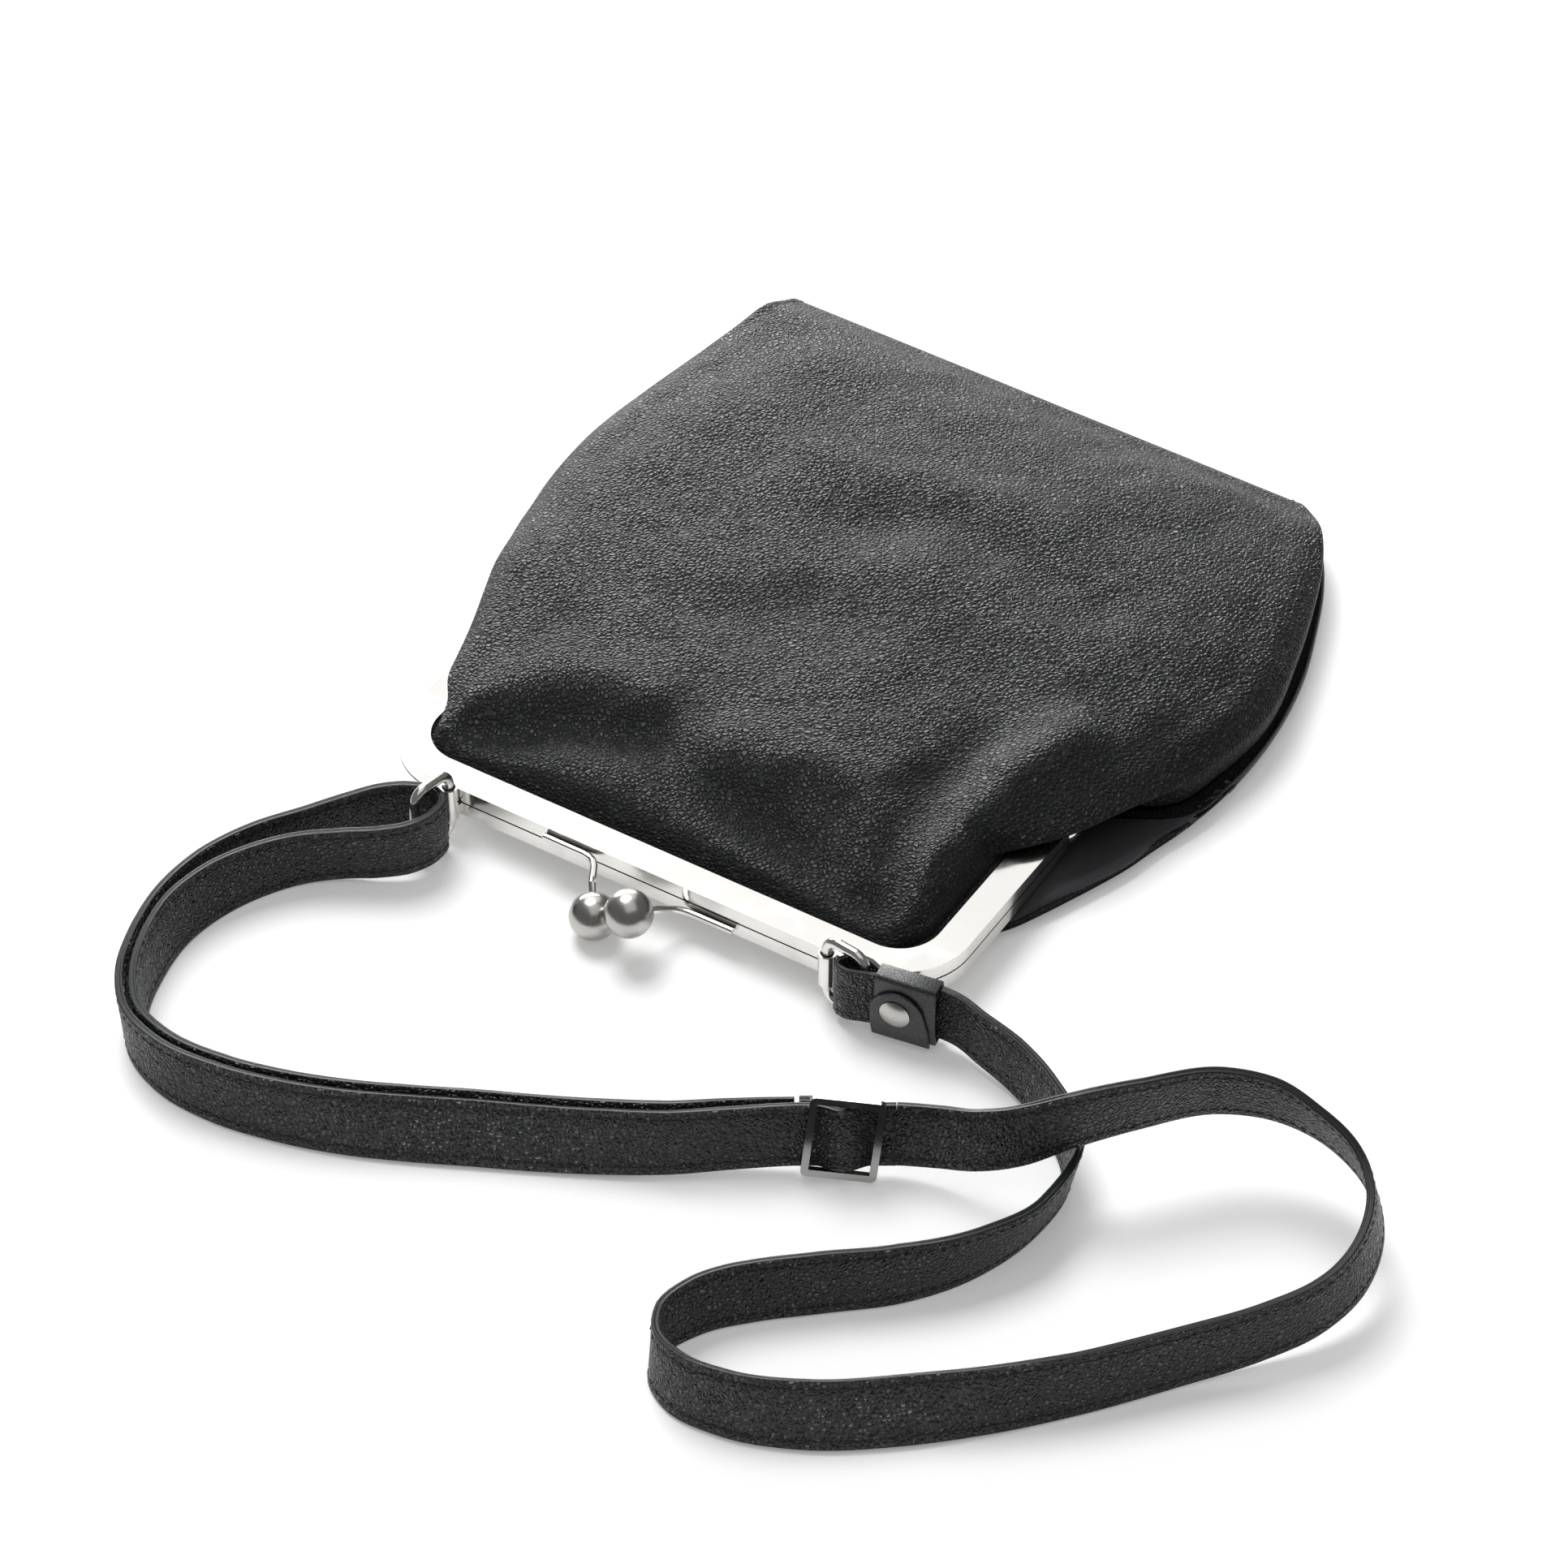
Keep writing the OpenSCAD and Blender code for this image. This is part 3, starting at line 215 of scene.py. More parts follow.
# The strap through the ring: distance along the keeper, distance across and thickness
RIGHT_LOOP = [
    (KEEPER_L, MAIN_OFFSET, STRAP_T), (KEEPER_L * 0.7, MAIN_OFFSET, STRAP_T),
    (KEEPER_L * 0.35, MAIN_OFFSET, STRAP_T), (3, MAIN_OFFSET + 0.1, SKIVED_T),
    (0.8, MAIN_OFFSET + 0.2, SKIVED_T), (-1.5, MAIN_OFFSET + 1.5, SKIVED_T),
    (-4.2, MAIN_OFFSET + 2.9, SKIVED_T), (-8.5, MAIN_OFFSET + 2.5, SKIVED_T),
    (-12, MAIN_OFFSET + 0.6, SKIVED_T), (-13, MAIN_OFFSET - 1.9, SKIVED_T),
    (-10, MAIN_OFFSET - 3.6, SKIVED_T), (-4.2, END_OFFSET - 0.8, SKIVED_T),
    (-1, END_OFFSET - 0.2, SKIVED_T), (1.5, END_OFFSET, SKIVED_T), (4, END_OFFSET, SKIVED_T),
    (KEEPER_L - 1, END_OFFSET, SKIVED_T), (KEEPER_L + 4, END_OFFSET, SKIVED_T)]


def keeper_point(along, across, thick):
    c, s = math.cos(KEEPER_TURN), math.sin(KEEPER_TURN)
    return [KEEPER_AT[0] + along * c - across * s, KEEPER_AT[1] + along * s + across * c,
            KEEPER_AT[2], 0, thick]


RIGHT_LOOP_ROUTE = RETURN_ROUTE[-3:-1] + [keeper_point(*place) for place in RIGHT_LOOP]

# Where the strap turns from the bag to a ring, the slider or the keeper, in metres
RING_BEND = ((-0.095, -0.186, 0.01), (-0.095, -0.150, 0.01))
SLIDER_LEFT_BEND = ((0.0447, -0.230, 0.01), (0.0947, -0.199, 0.01))
SLIDER_RIGHT_BEND = ((0.1507, -0.164, 0.01), (0.1219, -0.182, 0.01))
KEEPER_END_BEND = ((0.136, -0.153, 0.01), (0.113, -0.132, 0.01))
BAG_BEND = ((0, -0.060, 0.012), (0, 0.000, 0.012))
# Stretches of strap: piece, node, route, first and last place on it, body and turn to it
STRETCHES = [
    ("outer_layer_by_ring", "strap_outer_run", OUTER_ROUTE, 1, 12, "left_link", RING_BEND),
    ("outer_layer_by_slider", "strap_outer_run", OUTER_ROUTE, 12, 21, "slider",
     SLIDER_LEFT_BEND),
    ("inner_layer_by_ring", "strap_inner_run", INNER_ROUTE, 1, 12, "left_link", RING_BEND),
    ("inner_layer_by_slider", "strap_inner_run", INNER_ROUTE, 12, 20.95, "slider",
     SLIDER_LEFT_BEND),
    ("strap_over_bend", "strap_main_run", MAIN_ROUTE, 1, 15, "slider", SLIDER_RIGHT_BEND),
    ("strap_near_bend", "strap_near_run", MAIN_ROUTE, 15, 21, "back_half", None),
    ("strap_to_keeper", "strap_return_run", RETURN_ROUTE, 1, 14, "right_link",
     KEEPER_END_BEND),
    ("strap_in_left_ring", "strap_left_loop", LEFT_LOOP_ROUTE, 2, 6, "left_link", None),
    ("strap_in_right_ring", "strap_right_loop", RIGHT_LOOP_ROUTE, 1, 17, "right_link", None)]


# ---- Curves and surfaces ----

def clamp01(t):
    return min(1.0, max(0.0, t))


def ease(t):
    c = clamp01(t)
    return c * c * (3 - 2 * c)


def mix(a, b, t):
    return a + (b - a) * t


def curve(table, x):
    """Smooth curve through a short table of [place, value]."""
    last = len(table) - 1
    i = 0
    while i < last - 1 and x >= table[i + 1][0]:
        i += 1

    def slope(k):
        a, b = max(0, k - 1), min(last, k + 1)
        return (table[b][1] - table[a][1]) / (table[b][0] - table[a][0])

    w = table[i + 1][0] - table[i][0]
    t = clamp01((x - table[i][0]) / w)
    return ((2 * t**3 - 3 * t**2 + 1) * table[i][1] + (t**3 - 2 * t**2 + t) * w * slope(i)
            + (3 * t**2 - 2 * t**3) * table[i + 1][1] + (t**3 - t**2) * w * slope(i + 1))


def spline(points, u):
    """Point on the smooth curve through a list of vectors, its bends shared by distance."""
    last = len(points) - 1
    i = min(int(u), last - 1)
    f = u - i
    b, c = points[i], points[i + 1]
    a, d = points[max(0, i - 1)], points[min(last, i + 2)]
    gap = (c - b).length
    before, after = (b - a).length, (d - c).length
    if gap < 1e-6:
        return b.lerp(c, f)
    start = c - b if before < 1e-6 else ((b - a) * (gap / before) * gap
                                         + (c - b) * before) / (before + gap)
    end = c - b if after < 1e-6 else ((d - c) * (gap / after) * gap
                                      + (c - b) * after) / (after + gap)
    return (b * (2 * f**3 - 3 * f**2 + 1) + start * (f**3 - 2 * f**2 + f)
            + c * (3 * f**2 - 2 * f**3) + end * (f**3 - f**2))


def finer(grid):
    """The same surface with finer rows and columns, and their places on the first grid."""
    rows = [0.0]
    for i in range(len(grid) - 1):
        gap = (grid[i + 1][11] - grid[i][11]).length
        count = max(2, math.ceil(gap / ROW_STEP))
        rows += [i + (k + 1) / count for k in range(count)]
    columns = [0.0]
    for j in range(len(grid[0]) - 1):
        count = EDGE_PARTS if j < 5 or j >= len(grid[0]) - 6 else MIDDLE_PARTS
        columns += [j + (k + 1) / count for k in range(count)]
    wide = [[spline(row, u) for u in columns] for row in grid]
    by_column = [[row[j] for row in wide] for j in range(len(columns))]
    return [[spline(column, v) for column in by_column] for v in rows], rows, columns


def grid_normals(grid):
    rows, cols = len(grid), len(grid[0])
    out = []
    for i in range(rows):
        line = []
        for j in range(cols):
            down = grid[min(rows - 1, i + 1)][j] - grid[max(0, i - 1)][j]
            right = grid[i][min(cols - 1, j + 1)] - grid[i][max(0, j - 1)]
            n = right.cross(down)
            line.append(n.normalized() if n.length > 1e-9 else Vector((0, 0, 1)))
        out.append(line)
    return out


def segment_distance(px, py, a, b):
    ax, ay = a
    bx, by = b
    dx, dy = bx - ax, by - ay
    t = clamp01(((px - ax) * dx + (py - ay) * dy) / (dx * dx + dy * dy))
    return math.hypot(px - ax - t * dx, py - ay - t * dy)


# ---- Mesh helpers ----

def new_piece(name, bm, materials):
    mesh = bpy.data.meshes.new(name)
    bm.to_mesh(mesh)
    bm.free()
    for material in materials:
        mesh.materials.append(material)
    mesh.polygons.foreach_set("use_smooth", [True] * len(mesh.polygons))
    piece = bpy.data.objects.new(name, mesh)
    bpy.context.scene.collection.objects.link(piece)
    return piece


def fit_piece(piece, node, bodies, turn=None):
    """Puts a piece in its node's place: hides the node and hangs the piece on its body, or, for a
    piece that turns between two bodies, only bakes its place in.
    """
    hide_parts(node)
    if turn:
        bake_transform(piece)
    else:
        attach(piece, *bodies)


def laid_grid(points, uvs):
    """A grid of faces with its corners at the given rows of points."""
    rows, cols = len(points), len(points[0])
    bm = bmesh.new()
    bmesh.ops.create_grid(bm, x_segments=cols - 1, y_segments=rows - 1, size=1)
    bm.verts.ensure_lookup_table()
    layer = bm.loops.layers.uv.new("UVMap")
    for index, vert in enumerate(bm.verts):
        row, col = divmod(index, cols)
        vert.co = points[row][col] * MM
    bm.verts.index_update()
    for face in bm.faces:
        for loop in face.loops:
            loop[layer].uv = uvs(*divmod(loop.vert.index, cols))
    return bm


def grid_uvs(points):
    """Lengths in metres across and down a grid of points."""
    cols = len(points[0])
    middle = cols // 2
    across, down = [], [0.0]
    for row in points:
        run = [0.0]
        for a, b in zip(row, row[1:]):
            run.append(run[-1] + (b - a).length * MM)
        across.append([value - run[middle] for value in run])
    for above, row in zip(points, points[1:]):
        steps = [(b - a).length * MM for a, b in zip(above, row)][cols // 4:-cols // 4]
        down.append(down[-1] + sum(steps) / len(steps))
    return lambda row, col: (across[row][col], down[row])


def box_uvs(bm):
    """Flat UVs in metres by each face's main direction."""
    layer = bm.loops.layers.uv.verify()
    for face in bm.faces:
        n = face.normal
        drop = max(range(3), key=lambda k: abs(n[k]))
        a, b = [k for k in range(3) if k != drop]
        for loop in face.loops:
            loop[layer].uv = (loop.vert.co[a] * MM, loop.vert.co[b] * MM)


def swept(rings, lengths, rims, capped=True):
    """Closed section swept through its rings, with the cut edges as a second material."""
    points = [ring + [ring[0]] for ring in rings]
    around = [0.0]
    for a, b in zip(points[0], points[0][1:]):
        around.append(around[-1] + (b - a).length * MM)
    bm = laid_grid(points, lambda row, col: (lengths[row], around[col]))
    cols = len(points[0])
    for face in bm.faces:
        col = min(v.index % cols for v in face.verts)
        face.material_index = 1 if rims[col] and rims[(col + 1) % len(rims)] else 0
    bmesh.ops.remove_doubles(bm, verts=bm.verts, dist=1e-7)
    if capped:
        ends = [e for e in bm.edges if e.is_boundary]
        for edge in ends:
            edge.smooth = False
        bmesh.ops.holes_fill(bm, edges=ends, sides=0)
    bmesh.ops.recalc_face_normals(bm, faces=bm.faces)
    return bm


@functools.cache
def stitch_shape():
    """Corners and faces of one rounded stitch, one unit long, wide and high."""
    bm = bmesh.new()
    bmesh.ops.create_uvsphere(bm, u_segments=6, v_segments=4, radius=0.5,
                              matrix=Matrix.Rotation(math.pi / 2, 4, "Y"))
    # The sphere's own order changes from run to run, so its corners and faces are sorted
    verts = sorted(bm.verts, key=lambda vert: [round(c, 4) for c in vert.co])
    corners = [vert.co.copy() for vert in verts]
    faces = []
    for face in bm.faces:
        walk = [verts.index(vert) for vert in face.verts]
        first = walk.index(min(walk))
        faces.append(walk[first:] + walk[:first])
    bm.free()
    return corners, sorted(faces)


def add_stitches(bm, foot, side, up, heading, thick):
    """Stitches in both seam lines of both faces: flattened beads that lie in their grooves."""
    corners, faces = stitch_shape()
    long, wide, high = STITCH_SIZE
    for face in (-1, 1):
        out = side * face
        across = out.cross(heading)
        for height in STITCH_ROWS:
            place = foot + up * height + side * (face * (thick / 2 - STITCH_SUNK))
            verts = [bm.verts.new((place + heading * (c.x * long) + across * (c.y * wide)
                                   + out * (c.z * high)) * MM) for c in corners]
            for corner_list in faces:
                bm.faces.new([verts[k] for k in corner_list]).material_index = 2


# ---- Shape of the bag ----

def station_y(s):
    return s * HINGE_DROP if s < 1 else HINGE_DROP + (s - 1) * (BAG_DEPTH - HINGE_DROP)


def slot_h(y):
    plate = PLATE_HIGH if y < TAPER_START else mix(
        PLATE_HIGH, KNEE_HIGH, clamp01((y - TAPER_START) / (TAPER_KNEE - TAPER_START)))
    return plate - SHEET_T - 2 * SEAT_GAP - LEATHER_T / 2


def outline_x(inset, y):
    """Half width of the frame's outline, moved in by inset."""
    r = CORNER_R - inset
    dy = CORNER_R - max(y, inset)
    if y >= CORNER_R:
        return HALF_W - inset
    return HALF_W - CORNER_R + math.sqrt(max(0.0, r * r - dy * dy))


def edge_points(s, out_table, seam_table, rise, seam_at):
    """A panel's edge from the slot or seam to its fold: (distance from middle, height)."""
    y = station_y(s)
    closed = ease((s - CLOSE_FROM) / (CLOSE_TO - CLOSE_FROM))
    mouth = outline_x(FACE_W + LIP_GAP, y)
    fold = outline_x(-curve(out_table, s), y)
    over = ease((fold - mouth) / 8)
    lip = clamp01((y - FACE_W - LIP_GAP) / LIP_RUN)
    hs = slot_h(y)
    deep = mix(outline_x(SHEET_T + LIP_GAP, y), mouth + 0.1, ease((y - SLOT_END + 4) / 3))
    seam = HALF_W + curve(seam_table, s) - 1.5
    over_h = PLATE_HIGH + PLATE_GAP + LEATHER_T / 2
    wall = [(mouth - away - more * lip, hs + up * lip) for away, more, up in LIP_WALL]
    over_plate = [(mouth - 0.9, over_h), ((mouth + fold) / 2, over_h + 0.2), (fold, over_h + 1.6)]
    open_points = [(deep, hs), (mouth, hs), wall[0]] + [
        (mix(x, over_x, over), mix(h, high, over))
        for (x, h), (over_x, high) in zip(wall[1:], over_plate)]
    points = []
    for k, (x, h) in enumerate(open_points):
        a = k / 5
        sx = seam + (fold - seam) * math.sin(math.radians(90 * min(1, a * 1.2)))
        points.append((mix(x, sx, closed), mix(h, mix(seam_at, seam_at + rise, a), closed)))
    return points


def panel_row(s, left_out, right_out, top, rise, seam_at, power):
    """One row of a panel from its left edge to its right edge, heights from the middle plane."""
    y = station_y(s)
    left = edge_points(s, left_out, FRONT_LEFT_OUT, rise, seam_at)
    right = edge_points(s, right_out, FRONT_RIGHT_OUT, rise, seam_at)
    row = [(-x, y, h) for x, h in left]
    for k in range(1, ACROSS):
        f = 0.5 - 0.5 * math.cos(math.pi * k / ACROSS)
        level = max(0.0, 1 - abs(2 * f - 1) ** power) ** (1 / power)
        row.append((mix(-left[5][0], right[5][0], f), y,
                    mix(mix(left[5][1], right[5][1], f), top, level)))
    return row + [(x, y, h) for x, h in reversed(right)]


def panel_grid(front):
    """Rows of points on the middle of a panel's leather."""
    grid = []
    for s in ROW_STATIONS:
        height = (CROWN_H * curve(FRONT_CROWN, s)) if front else (TABLE_DROP * curve(BACK_DROP, s))
        top = max(slot_h(station_y(s)), height) if s < 1 else height
        if front:
            row = panel_row(s, FRONT_LEFT_OUT, FRONT_RIGHT_OUT, top,
                            min(8, height - SEAM_H), SEAM_H, 2.4)
        else:
            row = panel_row(s, BACK_LEFT_OUT, BACK_RIGHT_OUT, top,
                            0.3 * (height + SEAM_H), BACK_SEAM_H, 5)
        sign = 1 if front else -1
        turn = SEAM_TURN * ease((s - SEAM_TURN_FROM) / (2 - SEAM_TURN_FROM))
        grid.append([Vector((x, y - REST_Y - turn * x, MID_Z + sign * h)) for x, y, h in row])
    return grid


def fold_lift(point):
    """Height of the front leather's folds and softness at one place."""
    x, y = point.x, point.y + REST_Y
    total = 0.0
    for line, width, height in FRONT_FOLDS:
        near = min(segment_distance(x, y, a, b) for a, b in zip(line, line[1:]))
        total += height * math.exp(-(near / width) ** 2)
    soft = sum(share * noise.noise(Vector((point.x * waves, point.y * waves, place)))
               for waves, share, place in SOFT_WAVES)
    return total + SOFT_HIGH * soft


def bag_skin(front, share):
    """Fine grid of the leather's outer skin with its folds, clear of the table."""
    grid, rows, columns = finer(panel_grid(front))
    normals = grid_normals(grid)
    last = len(ROW_STATIONS) - 1
    skin = []
    for i, row in enumerate(grid):
        line = []
        ends = ease((rows[i] - 2.5) / 4) * ease((last - rows[i]) / 2.5)
        for j, point in enumerate(row):
            sides = ease((columns[j] - 5) / 2) * ease((columns[-1] - 5 - columns[j]) / 2)
            lift = fold_lift(point) * share * ends * sides if front else 0.0
            corner = point + normals[i][j] * (LEATHER_T / 2 + lift)
            corner.z = max(corner.z, 0.0)
            line.append(corner)
        skin.append(line)
    return skin


# ---- Shape of the strap ----

def strap_profile():
    """Section of the strap from its right face's foot: (side share, up, inset, on a rim)."""
    face = [(0.5, 0), (1.5, 0), (2.2, 0.03), (2.6, 0.16), (3.0, 0.03), (4.2, 0), (7, 0), (10, 0),
            (13, 0), (15.8, 0), (17.0, 0.03), (17.4, 0.16), (17.8, 0.03), (18.5, 0), (19.5, 0)]
    rim = [(1, 0.14, 0.13), (1, 0.4, 0.0), (0.3, 0, -0.04), (0, 0, 0.3), (-0.3, 0, -0.04),
           (-1, 0.4, 0.0), (-1, 0.14, 0.13)]
    walk = [(1, up, inset, 0) for up, inset in face]
    walk += [(share, STRAP_W - drop, inset, 1) for share, inset, drop in rim]
    walk += [(-1, up, inset, 0) for up, inset in reversed(face)]
    walk += [(-share, drop, inset, 1) for share, inset, drop in rim]
    return walk


STRAP_WALK = strap_profile()
STRAP_RIMS = [rim for _share, _height, _inset, rim in STRAP_WALK]


def strap_ring(foot, side, up, thick):
    """Section of the strap standing on its foot."""
    ring = []
    for share, height, inset, _rim in STRAP_WALK:
        reach = share * thick / 2
        if abs(share) == 1:
            reach -= share * inset * thick / STRAP_T
        ring.append(foot + side * reach + up * height)
    return ring


def route_at(route, u):
    full = [Vector((p[0], p[1] - REST_Y, p[2])) for p in route]
    side = [Vector((p[3], p[4] if len(p) > 4 else STRAP_T, 0)) for p in route]
    return spline(full, u), spline(side, u)


def route_frame(route, u):
    """Foot of the strap, its side and up directions, its heading and its thickness."""
    q, extra = route_at(route, u)
    last = len(route) - 1
    h = route_at(route, min(last, u + 0.02))[0] - route_at(route, max(0, u - 0.02))[0]
    h = Vector((h.x, h.y, 0)).normalized()
    left = Vector((-h.y, h.x, 0))
    c, s = math.cos(math.radians(extra.x)), math.sin(math.radians(extra.x))
    up = left * s + Vector((0, 0, c))
    side = left * c - Vector((0, 0, s))
    foot = q + Vector((0, 0, extra.y / 2 * abs(s)))
    return foot, side, up, h, extra.y


def even_places(route, first, last, step):
    """Places on a route between first and last about step millimetres apart."""
    dense = [first + (last - first) * k / 400 for k in range(401)]
    points = [route_at(route, u)[0] for u in dense]
    run = [0.0]
    for a, b in zip(points, points[1:]):
        run.append(run[-1] + (b - a).length)
    count = max(4, round(run[-1] / step))
    places, k = [], 0
    for n in range(count + 1):
        goal = run[-1] * n / count
        while k < 399 and run[k + 1] < goal:
            k += 1
        f = (goal - run[k]) / max(1e-9, run[k + 1] - run[k])
        places.append((mix(dense[k], dense[k + 1], clamp01(f)), goal))
    return places


def strap_piece(name, route, first, last, stitched):
    """A stretch of strap along a route, with its seam lines, stitches and painted edges."""
    places = even_places(route, first, last, RING_STEP)
    rings = []
    for u, _run in places:
        foot, side, up, _heading, thick = route_frame(route, u)
        rings.append(strap_ring(foot, side, up, thick))
    # Each route's grain starts at another place
    offset = (abs(route[0][0]) + abs(route[0][1])) * 0.013
    bm = swept(rings, [run * MM + offset for _u, run in places], STRAP_RIMS)
    if stitched:
        length = places[-1][1]
        count = int(length // STITCH_PITCH)
        for u, _run in even_places(route, first, last, length / (2 * count))[1::2]:
            add_stitches(bm, *route_frame(route, u))
    return new_piece(name, bm, [leather("strap"), edge_paint(), thread()])


def slider_matrix():
    rise = STRAP_W / 2 * math.cos(SLIDER_LEAN) + STRAP_T / 2 * math.sin(SLIDER_LEAN)
    shift = STRAP_W / 2 * math.sin(SLIDER_LEAN)
    place = Vector((SLIDER_AT[0] - math.sin(SLIDER_TURN) * shift,
                    SLIDER_AT[1] - REST_Y + math.cos(SLIDER_TURN) * shift,
                    SLIDER_AT[2] + rise))
    return (Matrix.Translation(place) @ Matrix.Rotation(SLIDER_TURN, 4, "Z")
            @ Matrix.Rotation(-SLIDER_LEAN, 4, "X"))


def flat_strip(name, line, thick, stitches):
    """Strap along a line in the slider's own frame, with stitches at places along X."""
    place = slider_matrix()
    turn = place.to_3x3()
    up = turn @ Vector((0, 0, 1))

    def along(k):
        ahead = (line[min(k + 1, len(line) - 1)] - line[max(0, k - 1)]).normalized()
        foot = place @ line[k] - up * (STRAP_W / 2)
        return foot, turn @ Vector((-ahead.y, ahead.x, 0)), up, turn @ ahead

    rings, lengths, run = [], [], 0.7
    for k in range(len(line)):
        foot, side, up, _heading = along(k)
        rings.append(strap_ring(foot, side, up, thick))
        run += (line[k] - line[k - 1]).length * MM if k else 0
        lengths.append(run)
    bm = swept(rings, lengths, STRAP_RIMS)
    for x in stitches:
        k = round((x + BEND_HALF) / (2 * BEND_HALF) * (len(line) - 1))
        add_stitches(bm, *along(k), thick)
    return new_piece(name, bm, [leather("strap"), edge_paint(), thread()])


def bend_y(x):
    """Middle of the strap where it bows over the slider's centre bar."""
    return -BEND_RISE * (0.5 + 0.5 * math.cos(math.pi * min(1, abs(x) / BEND_RUN)))


def bend_line():
    steps = [-BEND_HALF + 2 * BEND_HALF * k / 40 for k in range(41)]
    return [Vector((x, bend_y(x), 0)) for x in steps]


def end_fold_line():
    """Middle of the strap's end, out along its front, round the bar and back behind it."""
    middle = CENTRE_BAR_R + SKIVED_T / 2

    def front_y(x):
        return max(CENTRE_BAR_Y - middle, bend_y(x) + (STRAP_T + SKIVED_T) / 2 + PLY_GAP)

    def back_y(x):
        return max(CENTRE_BAR_Y + middle, front_y(x) + SKIVED_T + PLY_GAP)

    ahead = [-FOLD_L + FOLD_L * k / 14 for k in range(15)]
    behind = [-FOLD_L * k / 14 for k in range(15)]
    turns = [math.radians(15 * k - 90) for k in range(1, 12)]
    return ([Vector((x, front_y(x), 0)) for x in ahead]
            + [Vector((middle * math.cos(a), CENTRE_BAR_Y + middle * math.sin(a), 0))
               for a in turns]
            + [Vector((x, back_y(x), 0)) for x in behind])


# ---- Nodes ----

def add_node(tree, kind, location, feeds=None, **settings):
    """A node with its settings; each feed is a socket to link or a value to set."""
    node = tree.nodes.new(kind)
    node.location = location
    for key, value in settings.items():
        setattr(node, key, value)
    for key, value in (feeds or {}).items():
        if isinstance(value, bpy.types.NodeSocket):
            tree.links.new(value, node.inputs[key])
        else:
            node.inputs[key].default_value = value
    return node


def new_group(name, inputs, outputs):
    """Node group with number and vector inputs at their usual values, and number outputs."""
    tree = bpy.data.node_groups.new(name, "ShaderNodeTree")
    for label, value in inputs.items():
        kind = "NodeSocketFloat" if isinstance(value, float) else "NodeSocketVector"
        tree.interface.new_socket(label, in_out="INPUT", socket_type=kind).default_value = value
    for label in outputs:
        tree.interface.new_socket(label, in_out="OUTPUT", socket_type="NodeSocketFloat")
    return tree, add_node(tree, "NodeGroupInput", (-900, 0)).outputs


def mask(tree, factor, low, high, location):
    """0 below low and 1 above high, with a smooth change between."""
    return add_node(tree, "ShaderNodeMapRange", location,
                    {"Value": factor, "From Min": low, "From Max": high},
                    interpolation_type="SMOOTHSTEP").outputs["Result"]


def ranged(tree, factor, low, high, location):
    """Low to high as the factor goes from 0 to 1."""
    return add_node(tree, "ShaderNodeMapRange", location,
                    {"Value": factor, "To Min": low, "To Max": high}).outputs["Result"]


def shares_of(colour, low, high):
    return tuple(c * low for c in colour), tuple(c * high for c in colour)


def two_tone(tree, factor, tones, location):
    """A colour that goes from the first tone to the second by a factor."""
    low, high = (tone + (1,) for tone in tones)
    return add_node(tree, "ShaderNodeMix", location, {"Factor": factor, "A": low, "B": high},
                    data_type="RGBA").outputs["Result"]


def bump(tree, height, strength, distance, location):
    return add_node(tree, "ShaderNodeBump", location,
                    {"Height": height, "Strength": strength,
                     "Distance": distance}).outputs["Normal"]


@functools.cache
def grain_group():
    """Pebbled leather grain: its height, and a slow change of tone."""
    tree, start = new_group(
        "Leather grain", {"Vector": (0, 0, 0), "Stretch": (1, 1, 1), "Pebbles": 700.0,
                          "Creases": 90.0, "Crease depth": 0.5}, ("Height", "Tone"))
    warp = add_node(tree, "ShaderNodeTexNoise", (-720, -260),
                    {"Vector": start["Vector"], "Scale": 160.0, "Detail": 2.0})
    shift = add_node(tree, "ShaderNodeVectorMath", (-540, -200),
                     {0: warp.outputs["Color"], 1: (0.0022, 0.0022, 0.0022),
                      2: start["Vector"]}, operation="MULTIPLY_ADD")
    cells = add_node(tree, "ShaderNodeTexVoronoi", (-340, 200),
                     {"Vector": shift.outputs[0], "Scale": start["Pebbles"]},
                     feature="DISTANCE_TO_EDGE")
    dome = mask(tree, cells.outputs["Distance"], 0.0, 0.32, (-140, 200))
    pulled = add_node(tree, "ShaderNodeVectorMath", (-540, -60),
                      {0: shift.outputs[0], 1: start["Stretch"]}, operation="MULTIPLY")
    wrinkle = add_node(tree, "ShaderNodeTexNoise", (-340, -120),
                       {"Vector": pulled.outputs[0], "Scale": start["Creases"], "Detail": 3.0,
                        "Roughness": 0.55, "Distortion": 0.6},
                       noise_type="RIDGED_MULTIFRACTAL")
    crease = mask(tree, wrinkle.outputs["Fac"], 0.62, 1.05, (-140, -120))
    sink = add_node(tree, "ShaderNodeMath", (80, -60), {0: crease, 1: start["Crease depth"]},
                    operation="MULTIPLY")
    height = add_node(tree, "ShaderNodeMath", (280, 60), {0: dome, 1: sink.outputs[0]},
                      operation="SUBTRACT")
    slow = add_node(tree, "ShaderNodeTexNoise", (80, -320),
                    {"Vector": start["Vector"], "Scale": 22.0, "Detail": 3.0})
    add_node(tree, "NodeGroupOutput", (700, 0),
             {"Height": height.outputs[0], "Tone": slow.outputs["Fac"]})
    return tree


@functools.cache
def wear_group():
    """Fine brushing and smudges of handled plating: height and smudge mask."""
    tree, start = new_group("Plating wear", {"Vector": (0, 0, 0)}, ("Height", "Smudge"))
    fine = add_node(tree, "ShaderNodeTexNoise", (-400, 120),
                    {"Vector": start["Vector"], "Scale": 2600.0, "Detail": 3.0})
    smudge = add_node(tree, "ShaderNodeTexNoise", (-400, -160),
                      {"Vector": start["Vector"], "Scale": 85.0, "Detail": 4.0})
    add_node(tree, "NodeGroupOutput", (300, 0),
             {"Height": fine.outputs["Fac"],
              "Smudge": mask(tree, smudge.outputs["Fac"], 0.45, 0.75, (-160, -160))})
    return tree


# ---- Materials ----

